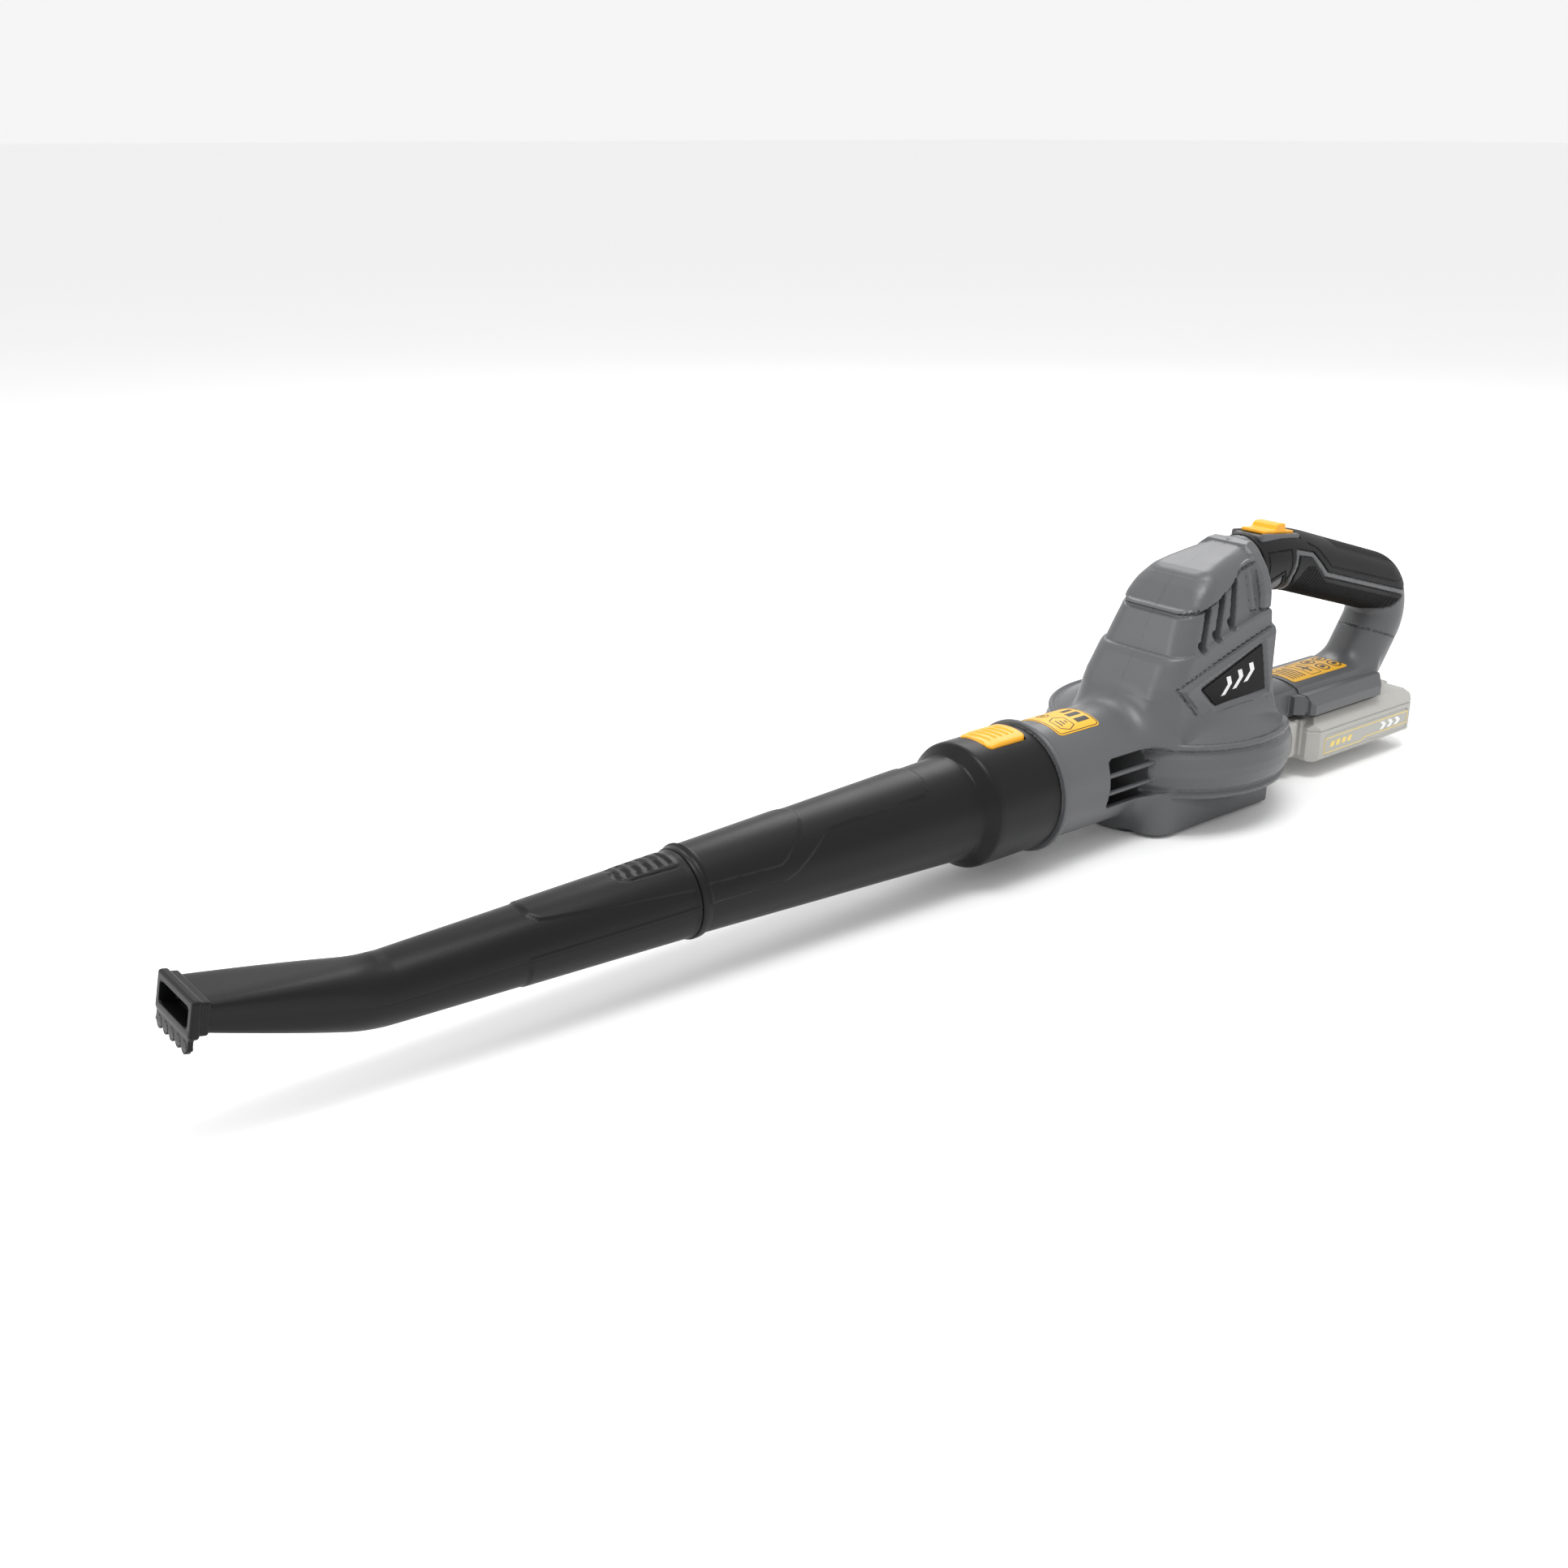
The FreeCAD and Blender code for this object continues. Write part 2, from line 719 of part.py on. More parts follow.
def make_housing():
    casing, chamber, motor_space = fan_casing()
    flange = turned_x("outlet", [
        ("-spigot_len", 20),
        ("-spigot_len", "spigot_rad"),
        (0, "spigot_rad"),
        (0, "flange_rad"),
        ("flange_len", "flange_rad"),
        ("flange_len + 1", "outlet_rad"),
        ("outlet_end", "outlet_rad"),
        ("outlet_end", 20),
    ])
    core = rod("outlet_core", ("-spigot_len", 0, 0), 21, "spigot_len + outlet_end", ALONG_X)
    base = padded("base", "XY_Plane", eight_corners(
        "base_front", "base_rear", "fan_axis_y - base_half_width", "fan_axis_y + base_half_width",
        "base_corner"), 2 * 18, (0, 0, "base_at + 18"))
    base_trim = box("base_trim", (60, -90, "-20"), (260, 110, 60))
    front_foot = rod("front_foot", ("front_foot_x", 0, "foot_at"), "front_foot_rad", 20)
    frame = padded("badge_frame", "XZ_Plane", [(104, 52), (128, 25), (203, 31), (203, 80), (133, 61)],
                   "2 * badge_face + 0.6")
    top, rails = receiver()
    outside = fuse(
        "housing_outside", casing, flange, core, cut("base_part", base, base_trim), front_foot,
        hood("hood_outer", 0), frame, top, rails, handle_frame(),
    )
    bores = [
        chamber, motor_space, hood_inside(), rod("wire_port", (188, 0, 110.5), 11, 30, ALONG_X),
    ]
    hollow = cut("housing_hollow", outside, *bores, *housing_tools())
    bosses = []
    for screw in SCREWS:
        at = (f"{screw}_x", f"-{screw}_reach", f"{screw}_z")
        bosses.append(rod(f"{screw}_boss", at, "boss_rad", f"2 * {screw}_reach", ALONG_Y))
    bossed = fuse("housing_bossed", hollow, *bosses)
    space = 400
    left = box("left_space", (-100, -space, -space), (space * 2, 0, space))
    right = box("right_space", (-100, 0, -space), (space * 2, space, space))
    holes = []
    for screw in SCREWS:
        x, z = f"{screw}_x", f"{screw}_z"
        holes.append(rod(f"{screw}_hole", (x, -1, z), "screw_hole", 60, ALONG_Y))
        holes.append(rod(f"{screw}_sink", (x, f"{screw}_head", z), "screw_head + 0.3", 40, ALONG_Y))
    node("housing_left", common("left_part", bossed, left))
    node("housing_right", cut("right_part", common("right_half", bossed, right), *holes))


def hood_inside():
    """The space inside the hood, kept above the deck."""
    floor = box("above_deck", (60, -80, "deck_top"), (240, 100, 200))
    return common("hood_space", hood("hood_inner", "shell"), floor)


def handle_frame():
    """The hard frame of the handle: thick at its ends and under the switch, slim below the grips."""
    island = common(
        "switch_island", handle_pipe("island_pipe", "palm", "grip_rad", "core_bore"),
        box("island_block", (205, -14, 118), (258, 14, 150)),
    )
    root = handle_pipe("root_pipe", "root", "grip_rad", "core_bore")
    core = handle_pipe("core_pipe", "palm", "core_rad", "core_bore")
    neck = common("neck_part", handle_pipe("neck_pipe", "neck", "grip_rad", "core_bore"),
                  box("neck_keep", (300, -40, "slot_top + 1"), (460, 40, 200)))
    return fuse("handle_frame", root, core, island, neck)


# ---------------------------------------------------------------- parts on the housing


def make_grips():
    sleeve = cut("sleeve", handle_pipe("sleeve_pipe", "palm", "grip_rad", "core_rad"),
                 box("island_clear", (200, -14.2, 117.8), (258.2, 14.2, 150)))
    for side, low, high in (("left", -60, 0), ("right", 0, 60)):
        half = box(f"grip_{side}_space", (150, low, 0), (450, high, 200))
        node(f"grip_{side}", common(f"grip_{side}_part", sleeve, half))


def make_labels():
    ring = cut("label_ring", rod("label_outer", (18, 0, 0), "outlet_rad + label_thick", 38, ALONG_X),
               rod("label_inner", (17, 0, 0), "outlet_rad", 40, ALONG_X))
    node("outlet_label", common("outlet_label_part", ring, box("label_cutter", (10, -18.7, 5), (70, 18.7, 60))))
    centre = "crown_top - crown_rad"
    arch = cut("info_arch", rod("info_outer", (267, 0, centre), "crown_rad + label_thick", 66, ALONG_X),
               rod("info_inner", (266, 0, centre), "crown_rad", 68, ALONG_X))
    node("info_label", common("info_label_part", arch, box("info_cutter", (260, -14.3, 5), (340, 14.3, 60))))


def make_slide_switch():
    turn = ((0, 1, 0), measure("switch_tilt"))
    origin = ("switch_x", 0, "switch_z")
    plate = box("switch_plate_block", ("-switch_half_len", "-switch_half_width", 0),
                ("switch_half_len", "switch_half_width", "switch_plate"), turn, origin)
    tab = box("switch_tab_block", (-2, "-switch_half_width", 1), (5, "switch_half_width", "switch_tab"),
              turn, origin)
    stem = box("switch_stem", (-5, -2, -12.5), (5, 2, 1), turn, origin)
    node("slide_switch", fuse("slide_switch_part", plate, tab, stem))
    module = box("switch_body_block", (-18, -7, -28), (10, 7, -13), turn, origin)
    node("switch_module", module)


def make_intake_guard():
    disc = rod("guard_disc", (*FAN_AXIS, "base_at"), "guard_rad", "guard_thick")
    slots = []
    for row in range(-4, 5):
        offset = row * measure("guard_pitch")
        reach = math.sqrt(measure("intake_rad - 2") ** 2 - offset ** 2)
        slots.append(box(
            f"guard_slot_{row + 4}",
            (f"fan_axis_x - {reach}", f"fan_axis_y + {offset} - guard_slot / 2", "base_at - 1"),
            (f"fan_axis_x + {reach}", f"fan_axis_y + {offset} + guard_slot / 2", "base_at + guard_thick + 1"),
        ))
    holes = []
    screws = []
    for place in range(4):
        angle = math.radians(45 + 90 * place)
        at = (f"fan_axis_x + guard_screw_at * {math.cos(angle)}",
              f"fan_axis_y + guard_screw_at * {math.sin(angle)}")
        holes.append(rod(f"guard_hole_{place}", (*at, "base_at - 1"), 1.5, 6))
        holes.append(rod(f"guard_sink_{place}", (*at, "base_at - 1"), 2.4, 2.2))
        shank = rod(f"guard_shank_{place}", (*at, "base_at + 0.2"), 1.2, 8)
        head = rod(f"guard_head_{place}", (*at, "base_at + 0.2"), 2.1, 1)
        screws.append(fuse(f"guard_screw_{place}", shank, head))
    node("intake_guard", cut("guard_part", disc, *slots, *holes))
    node("guard_screws", group("guard_screw_set", *screws))


def make_rear_feet():
    feet = []
    for side in (-1, 1):
        at = ("rear_foot_x", f"fan_axis_y + {side} * rear_foot_y")
        pad = rod(f"foot_pad_{side + 1}", (*at, "foot_at"), "rear_foot_rad", "base_at - foot_at")
        stem = rod(f"foot_stem_{side + 1}", (*at, "foot_at"), "rear_foot_rad / 2", 5)
        feet.append(fuse(f"rear_foot_{side + 1}", pad, stem))
    node("rear_feet", group("rear_feet_set", *feet))


def make_housing_screws():
    screws = []
    for screw in SCREWS:
        x, z = f"{screw}_x", f"{screw}_z"
        shank = rod(f"{screw}_shank", (x, f"2 - {screw}_head", z), "screw_rad",
                    f"2 * {screw}_head - 2", ALONG_Y)
        cap = rod(f"{screw}_cap", (x, f"{screw}_head", z), "screw_head", "screw_head_len", ALONG_Y)
        screws.append(fuse(f"{screw}_whole", shank, cap))
    node("housing_screws", group("housing_screw_set", *screws))


# ---------------------------------------------------------------- fan and motor


def make_impeller():
    disc = turned_z("impeller_disc", [
        ("shaft_rad", "fan_bottom"),
        ("hub_rad", "fan_bottom"),
        ("hub_rad", "fan_top - 12"),
        ("hub_rad + 8", "fan_top - fan_plate"),
        ("fan_rad", "fan_top - fan_plate"),
        ("fan_rad", "fan_top"),
        ("shaft_rad", "fan_top"),
    ])
    vanes = []
    count = int(measure("vane_count"))
    for place in range(count):
        angle = 360 * place / count
        start = Rotation(Vector(0, 0, 1), angle).multVec(Vector(measure("vane_inner"), 0, 0))
        vane = solid("Box", f"vane_{place}", (0, 0, 0), ((0, 0, 1), angle + measure("vane_sweep")),
                     Length="fan_rad - vane_inner - 6", Width="vane_thick",
                     Height="fan_top - fan_bottom - fan_plate / 2")
        for axis, value in zip("xy", (f"fan_axis_x + {start.x}", f"fan_axis_y + {start.y}")):
            vane.setExpression(f".Placement.Base.{axis}", linked(value))
        vane.setExpression(".Placement.Base.z", linked("fan_bottom"))
        vanes.append(vane)
    node("impeller", fuse("impeller_part", disc, *vanes))
    nut = solid("Prism", "nut_blank", (*FAN_AXIS, "fan_bottom - 4"), Polygon=6, Circumradius=5.2,
                Height=4)
    node("impeller_nut", cut("nut_part", nut, rod("nut_bore", (*FAN_AXIS, "fan_bottom - 5"),
                                                  "shaft_rad", 6)))


def make_shaft_and_rotor():
    node("motor_shaft", rod("shaft", (*FAN_AXIS, "shaft_bottom"), "shaft_rad",
                            "shaft_top - shaft_bottom"))
    node("rotor", turned_z("rotor_body", [
        ("shaft_rad", "rotor_bottom"),
        ("rotor_rad", "rotor_bottom"),
        ("rotor_rad", "rotor_top"),
        ("bearing_rad", "rotor_top"),
        ("bearing_rad", "rotor_top + 6"),
        ("shaft_rad", "rotor_top + 6"),
    ]))


def make_motor():
    seat_z = "deck_top + plate_thick"
    bore = "bearing_rad"
    floor = f"{seat_z} + can_floor"
    node("motor_plate", turned_z("plate", [
        ("hub_rad", "deck_top"),
        ("plate_rad", "deck_top"),
        ("plate_rad", seat_z),
        ("hub_rad", seat_z),
    ]))
    node("motor_can", turned_z("can", [
        ("shaft_rad + 1", seat_z),
        ("can_rad", seat_z),
        ("can_rad", "can_top"),
        ("can_rad - can_wall", "can_top"),
        ("can_rad - can_wall", floor),
        (f"{bore} + 1.5", floor),
        (f"{bore} + 1.5", f"{floor} + bearing_len"),
        (bore, f"{floor} + bearing_len"),
        (bore, floor),
        ("shaft_rad + 1", floor),
    ]))
    node("motor_end_cap", turned_z("end_cap", [
        (bore, "can_top"),
        ("can_rad", "can_top"),
        ("can_rad", "cap_top - 3"),
        ("can_rad - 4", "cap_top"),
        ("shaft_rad + 1", "cap_top"),
        ("shaft_rad + 1", "can_top + bearing_len + 0.5"),
        (bore, "can_top + bearing_len + 0.5"),
    ]))
    bearings = (("lower_bearing", floor), ("upper_bearing", "can_top + 0.5"))
    for label, level in bearings:
        ring = turned_z(label + "_ring", [
            ("shaft_rad + shaft_clear", level),
            (bore, level),
            (bore, f"{level} + bearing_len"),
            ("shaft_rad + shaft_clear", f"{level} + bearing_len"),
        ])
        node(label, ring)
    ring = turned_z("magnet_ring", [
        ("magnet_bore", "rotor_bottom"),
        ("can_rad - can_wall", "rotor_bottom"),
        ("can_rad - can_wall", "rotor_top"),
        ("magnet_bore", "rotor_top"),
    ])
    gap = box("magnet_gap", ("fan_axis_x - 30", "fan_axis_y - 6", 0), ("fan_axis_x + 30", "fan_axis_y + 6", 100))
    node("magnets", cut("magnet_pair", ring, gap))
    node("motor_damper", turned_z("damper", [
        ("can_rad", 60),
        ("can_rad + 3", 60),
        ("can_rad + 3", 68),
        ("can_rad", 68),
    ]))
    screws = []
    for place, (out, angle) in enumerate(((15, 20), (15, 200), (30, 80), (30, 200), (30, 320))):
        turn = math.radians(angle)
        at = (f"fan_axis_x + {out * math.cos(turn)}", f"fan_axis_y + {out * math.sin(turn)}")
        under = out < measure("deck_hole")
        shank_at = "deck_top" if under else "deck_under + 0.5"
        head_at = "deck_top - 2" if under else seat_z
        shank = rod(f"motor_shank_{place}", (*at, shank_at), 1.5, 5)
        head = rod(f"motor_head_{place}", (*at, head_at), 2.8, 2)
        screws.append(fuse(f"motor_screw_{place}", shank, head))
    node("motor_screws", group("motor_screw_set", *screws))


# ---------------------------------------------------------------- wiring


def lead(name, points, bend):
    """A round insulated lead along straight runs and arcs."""
    corners = [Vector(*point) for point in points]
    path = bent_wire(corners, [bend] * (len(points) - 2))
    ring = Part.Wire(Part.makeCircle(measure("lead_rad"), corners[0], corners[1] - corners[0]))
    return made(name, Part.Wire(path).makePipe(Part.Face(ring)))


def make_leads():
    side = measure("lead_side")
    for label, y, end_x in (("red_lead", -side, 172.6), ("black_lead", side, 177.6)):
        run = [(262.0, y, 10.0), (255.0, y, 10.0), (246.0, y, 17.2), (194.0, y, 17.2), (194.0, y, 83.0),
               (end_x, y, 83.0)]
        node(label, lead(label + "_run", run, 5.0))
    pair = []
    for place, y in enumerate((-4.0, 4.0)):
        run = [(216.0, y, 112.4), (196.0, y, 110.0), (178.0, y, 101.0), (170.0, y, 88.6)]
        pair.append(lead(f"switch_lead_{place}", run, 6.0))
    node("switch_leads", group("switch_lead_pair", *pair))


# ---------------------------------------------------------------- battery and its terminals


def blade_rows():
    """The four blades' places across the receiver."""
    pitch = measure("blade_pitch")
    return [pitch * (place - 1.5) for place in range(4)]


def make_terminals():
    block = box("terminal_base", ("receiver_front + 0.2", "-slot_half_width + 0.2", "slot_ledge + 0.3"),
                ("receiver_front + 9.5", "slot_half_width - 0.2", "slot_top - 0.2"))
    blades = []
    for place, y in enumerate(blade_rows()):
        blades.append(box(f"blade_{place}", ("receiver_front + 9.5", y - 0.4, 5.5),
                          ("receiver_front + 22", y + 0.4, 11.5)))
    node("terminal_block", block)
    node("terminal_blades", group("blade_set", *blades))


def pack_outline(inset):
    return eight_corners(f"pack_front + {inset}", f"pack_rear - {inset}", f"-pack_half_width + {inset}",
                         f"pack_half_width - {inset}", "pack_corner")


def slab(name, points, low, high):
    """A flat-bottomed block of an outline between two heights."""
    return padded(name, "XY_Plane", points, f"({high}) - ({low})", (0, 0, f"(({high}) + ({low})) / 2"))


def make_battery():
    nose = eight_corners("nose_front", "pack_front + 8", "-nose_half_width", "nose_half_width", "4")
    lower = fuse("pack_lower_form", slab("pack_lower", pack_outline("0"), "pack_bottom", "pack_split"),
                 slab("nose_lower", nose, "pack_bottom + 3", "pack_split"))
    node("battery_case_bottom", cut(
        "pack_lower_part", lower,
        slab("pack_lower_space", pack_outline("pack_wall"), "pack_bottom + pack_wall", "pack_split + 1")))
    upper = fuse(
        "pack_upper_form", slab("pack_upper", pack_outline("0"), "pack_split", "pack_top"),
        slab("nose_upper", nose, "pack_split", "pack_top - 1"),
        box("head_stem", ("head_front", "-head_neck", "pack_top - 1"), ("head_rear", "head_neck", "head_under")),
        box("head_block", ("head_front", "-head_half_width", "head_under"),
            ("head_rear", "head_half_width", "head_top")),
    )
    tools = [slab("pack_upper_space", pack_outline("pack_wall"), "pack_split - 1", "pack_top - pack_wall")]
    latch_side = "latch_half_width + fit_gap"
    tools.append(box("latch_pocket", ("pack_rear - 9", f"-({latch_side})", "pack_split + 1"),
                     ("pack_rear + 1", latch_side, "pack_top + 1")))
    for place, y in enumerate(blade_rows()):
        tools.append(box(f"blade_slot_{place}", ("head_front - 1", y - 1, 4.4), ("head_front + 13", y + 1, 12.6)))
        tools.append(box(f"clip_seat_{place}", ("head_front + 12.5", y - 1.6, 4.4), ("head_front + 20", y + 1.6, 12.6)))
    hollow = cut("pack_upper_hollow", upper, *tools)
    posts = []
    screws = []
    for place, (x, y) in enumerate(((272.5, -31), (272.5, 31), (384, -31), (384, 31))):
        posts.append(rod(f"pack_post_{place}", (x, y, "pack_bottom + pack_wall"), 3.2, 28))
        screws.append(rod(f"pack_screw_{place}", (x, y, "pack_bottom"), 1.4, 20))
    node("battery_case_top", fuse("pack_upper_part", hollow, *posts))
    node("battery_screws", group("pack_screw_set", *screws))
    clips = []
    for place, y in enumerate(blade_rows()):
        clips.append(box(f"clip_{place}", ("head_front + 14", y - 1.6, 4.4), ("head_front + 20", y + 1.6, 12.6)))
    node("battery_contacts", group("clip_set", *clips))
    cells = []
    for place in range(int(measure("cell_count"))):
        cells.append(rod(f"cell_{place}", (f"cell_first + {place} * cell_pitch", "-cell_len / 2", "cell_at"),
                         "cell_rad", "cell_len", ALONG_Y))
    node("battery_cells", group("cell_set", *cells))
    node("battery_board", box("board", (282, -28, -11.5), (368, 28, -9.9)))
    latch = fuse(
        "latch_part",
        box("latch_block", ("pack_rear - 8.5", "-latch_half_width", -11), ("pack_rear - 0.6", "latch_half_width", -4)),
        box("latch_pad", ("pack_rear - 2", "-latch_half_width + 2", -10), ("pack_rear + 1.6", "latch_half_width - 2", -5)),
    )
    node("battery_latch", latch)
    coil = cut("coil_part", rod("coil_outer", ("pack_rear - 5", 0, -17.8), 3, 6.7),
               rod("coil_inner", ("pack_rear - 5", 0, -18.8), 2.2, 9))
    node("latch_spring", coil)


# ---------------------------------------------------------------- build, check and write


def build():
    make_rear_tube()
    make_release_button()
    make_nozzle()
    make_housing()
    make_badges()
    make_grips()
    make_labels()
    make_slide_switch()
    make_intake_guard()
    make_rear_feet()
    make_housing_screws()
    make_impeller()
    make_shaft_and_rotor()
    make_motor()
    make_leads()
    make_terminals()
    make_battery()
    doc.recompute()


def check():
    for item in doc.Objects:
        if "Invalid" in item.State or "Error" in item.State:
            raise RuntimeError(f"{item.Label} did not compute: {item.State}")
    for label, item in NODES.items():
        if item.Shape.isNull() or not item.Shape.isValid() or not item.Shape.Solids:
            raise RuntimeError(f"{label} has no valid solid")


def write():
    os.makedirs("parts", exist_ok=True)
    for label, item in NODES.items():
        item.Shape.exportStep(f"parts/{label}.step")
        bounds = item.Shape.BoundBox
        print(f"{label}: {item.Shape.Volume / 1000:.1f} cm3, {len(item.Shape.Solids)} solid(s), "
              f"x {bounds.XMin:.1f} to {bounds.XMax:.1f}, z {bounds.ZMin:.1f} to {bounds.ZMax:.1f}")


build()
check()
write()
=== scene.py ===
import bmesh
import bpy
import json
import math
import numpy as np
from mathutils import Matrix, Vector


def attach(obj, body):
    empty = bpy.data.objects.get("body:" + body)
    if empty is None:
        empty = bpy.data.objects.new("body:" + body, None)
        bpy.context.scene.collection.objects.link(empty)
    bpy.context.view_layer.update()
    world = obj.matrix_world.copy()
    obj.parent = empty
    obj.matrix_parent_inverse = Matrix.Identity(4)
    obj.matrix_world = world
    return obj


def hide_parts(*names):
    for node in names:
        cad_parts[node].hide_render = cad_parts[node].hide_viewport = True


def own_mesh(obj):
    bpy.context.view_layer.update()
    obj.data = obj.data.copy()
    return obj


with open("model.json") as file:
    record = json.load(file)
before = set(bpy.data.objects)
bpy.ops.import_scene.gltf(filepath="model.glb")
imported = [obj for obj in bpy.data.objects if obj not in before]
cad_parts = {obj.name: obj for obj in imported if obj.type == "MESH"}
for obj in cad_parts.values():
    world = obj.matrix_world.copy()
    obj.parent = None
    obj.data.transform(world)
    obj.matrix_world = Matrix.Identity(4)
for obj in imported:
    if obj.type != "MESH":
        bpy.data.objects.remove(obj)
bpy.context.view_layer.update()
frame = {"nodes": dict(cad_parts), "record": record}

NODES = frame["nodes"]
MM = 0.001
BLOCK = 8
HALF_ROOT = math.sqrt(0.5)
FAR = 50.0

# Everything below is worked out in millimetres in the CAD frame and turned to metres in new_mesh().
# FAR stands for "no line here" in a groove's mask.

# ---- signed distances


def smooth_min(a, b, width):
    share = np.clip(0.5 + 0.5 * (b - a) / width, 0, 1)
    return b + (a - b) * share - width * share * (1 - share)


def smooth_max(a, b, width):
    return -smooth_min(-a, -b, width)


def bevel_max(a, b, width):
    """Intersection with a flat bevel along the edge."""
    return np.maximum(np.maximum(a, b), (a + b + width) * HALF_ROOT)


def polyline(u, v, points):
    """Distance to an open line."""
    nearest = np.full(u.shape, 1e9)
    for (u0, v0), (u1, v1) in zip(points, points[1:]):
        du, dv = u1 - u0, v1 - v0
        if du or dv:
            share = np.clip(((u - u0) * du + (v - v0) * dv) / (du * du + dv * dv), 0, 1)
            nearest = np.minimum(nearest, (u - u0 - du * share) ** 2 + (v - v0 - dv * share) ** 2)
    return np.sqrt(nearest)


def polygon(u, v, points):
    """Signed distance to a closed polygon."""
    closed = points + points[:1]
    inside = np.zeros(u.shape, bool)
    for (u0, v0), (u1, v1) in zip(closed, closed[1:]):
        if v0 != v1:
            inside ^= ((v0 > v) != (v1 > v)) & (u < u0 + (u1 - u0) * (v - v0) / (v1 - v0))
    return np.where(inside, -1, 1) * polyline(u, v, closed)


def block(x, y, z, low, high, edge=0.0):
    """A box with round edges."""
    offsets = []
    for value, start, end in zip((x, y, z), low, high):
        offsets.append(np.abs(value - (start + end) / 2) - (end - start) / 2 + edge)
    outside = np.sqrt(sum(np.maximum(offset, 0) ** 2 for offset in offsets))
    inside = np.minimum(np.maximum.reduce(offsets), 0)
    return outside + inside - edge


def corner_out(a, b):
    """Distance from a corner whose two faces are a and b away."""
    return np.hypot(np.maximum(a, 0), np.maximum(b, 0)) + np.minimum(np.maximum(a, b), 0)


def plan(x, y, front, rear, half, corner):
    """An upright column with round corners, whose sizes may vary with height."""
    across = np.abs(x - (front + rear) / 2) - ((rear - front) / 2 - corner)
    return corner_out(across, np.abs(y) - (half - corner)) - corner


def barrel(x, y, z, radius, start, end, edge=0.0):
    """A cylinder along X."""
    along = np.abs(x - (start + end) / 2) - (end - start) / 2 + edge
    return corner_out(np.hypot(y, z) - radius + edge, along) - edge


# ---- meshing a signed distance


def sample(field, low, high, step):
    """The field on a grid, worked out only in the blocks that the surface may cross."""
    counts = [int(math.ceil((end - start) / step / BLOCK)) for start, end in zip(low, high)]
    grid = np.full([count * BLOCK for count in counts], 1.0, np.float32)
    middles = [start + (np.arange(count) + 0.5) * BLOCK * step for start, count in zip(low, counts)]
    centre = np.meshgrid(*middles, indexing="ij")
    rough = field(*[axis.ravel() for axis in centre]).reshape(counts)
    grid *= np.sign(rough).repeat(BLOCK, 0).repeat(BLOCK, 1).repeat(BLOCK, 2)
    near = np.argwhere(np.abs(rough) < BLOCK * step * 1.5)
    inner = np.stack(np.meshgrid(*[np.arange(BLOCK)] * 3, indexing="ij"), -1).reshape(-1, 3)
    for start in range(0, len(near), 600):
        cells = (near[start:start + 600, None] * BLOCK + inner[None]).reshape(-1, 3)
        points = cells * step + np.array(low)
        grid[tuple(cells.T)] = field(points[:, 0], points[:, 1], points[:, 2])
    return grid


def slope(field, points, reach=0.05):
    """The field's unit gradient at some points."""
    total = np.zeros_like(points)
    for way in ((1, -1, -1), (-1, -1, 1), (-1, 1, -1), (1, 1, 1)):
        moved = points + np.array(way) * reach
        total += np.array(way) * field(moved[:, 0], moved[:, 1], moved[:, 2])[:, None]
    return total / np.maximum(np.linalg.norm(total, axis=1), 1e-9)[:, None]


def skin(field, low, high, step):
    """Points, quads and normals of the field's surface, by surface nets."""
    grid = sample(field, low, high, step)
    solid = (grid < 0).astype(np.uint8)
    corners = [(i, j, k) for i in (0, 1) for j in (0, 1) for k in (0, 1)]
    shape = [size - 1 for size in grid.shape]
    count = np.zeros(shape, np.uint8)
    for i, j, k in corners:
        count += solid[i:i + shape[0], j:j + shape[1], k:k + shape[2]]
    cells = np.argwhere((count > 0) & (count < 8))
    value = {corner: grid[tuple((cells + corner).T)].astype(float) for corner in corners}
    place = np.zeros((len(cells), 3))
    crossings = np.zeros(len(cells))
    for a in corners:
        for axis in range(3):
            if a[axis]:
                continue
            b = tuple(1 if other == axis else a[other] for other in range(3))
            crossed = (value[a] < 0) != (value[b] < 0)
            share = np.where(crossed, value[a] / np.where(crossed, value[a] - value[b], 1), 0)
            point = np.array(a) + np.eye(3)[axis] * share[:, None]
            place += np.where(crossed[:, None], point, 0)
            crossings += crossed
    points = (cells + place / crossings[:, None]) * step + np.array(low)
    number = np.full(shape, -1, np.int32)
    number[tuple(cells.T)] = np.arange(len(cells))
    quads = []
    for axis in range(3):
        ahead = np.eye(3, dtype=int)[axis]
        side = np.eye(3, dtype=int)[(axis + 1) % 3]
        up = np.eye(3, dtype=int)[(axis + 2) % 3]
        inner = [slice(1, size - 1) for size in grid.shape]
        after = [slice(1 + ahead[n], size - 1 + ahead[n]) for n, size in enumerate(grid.shape)]
        here, there = solid[tuple(inner)], solid[tuple(after)]
        edges = np.argwhere(here != there) + 1
        rising = here[tuple((edges - 1).T)] == 1
        ring = [number[tuple((edges - shift).T)] for shift in (side + up, up, 0 * up, side)]
        quad = np.stack(ring, 1)
        quads.append(np.where(rising[:, None], quad, quad[:, ::-1]))
    quads = np.concatenate(quads)
    for _ in range(2):
        normals = slope(field, points)
        away = field(points[:, 0], points[:, 1], points[:, 2])
        points = points - normals * np.clip(away, -0.45 * step, 0.45 * step)[:, None]
    return points, quads, slope(field, points)


# ---- making pieces


def add_object(name, data):
    item = bpy.data.objects.new(name, data)
    bpy.context.scene.collection.objects.link(item)
    return item


def new_mesh(name, points, faces, normals=None):
    mesh = bpy.data.meshes.new(name)
    mesh.from_pydata((np.asarray(points) * MM).tolist(), [], np.asarray(faces).tolist()
                     if isinstance(faces, np.ndarray) else faces)
    mesh.update()
    mesh.shade_smooth()
    if normals is not None:
        mesh.normals_split_custom_set_from_vertices(np.asarray(normals).tolist())
    return add_object(name, mesh)


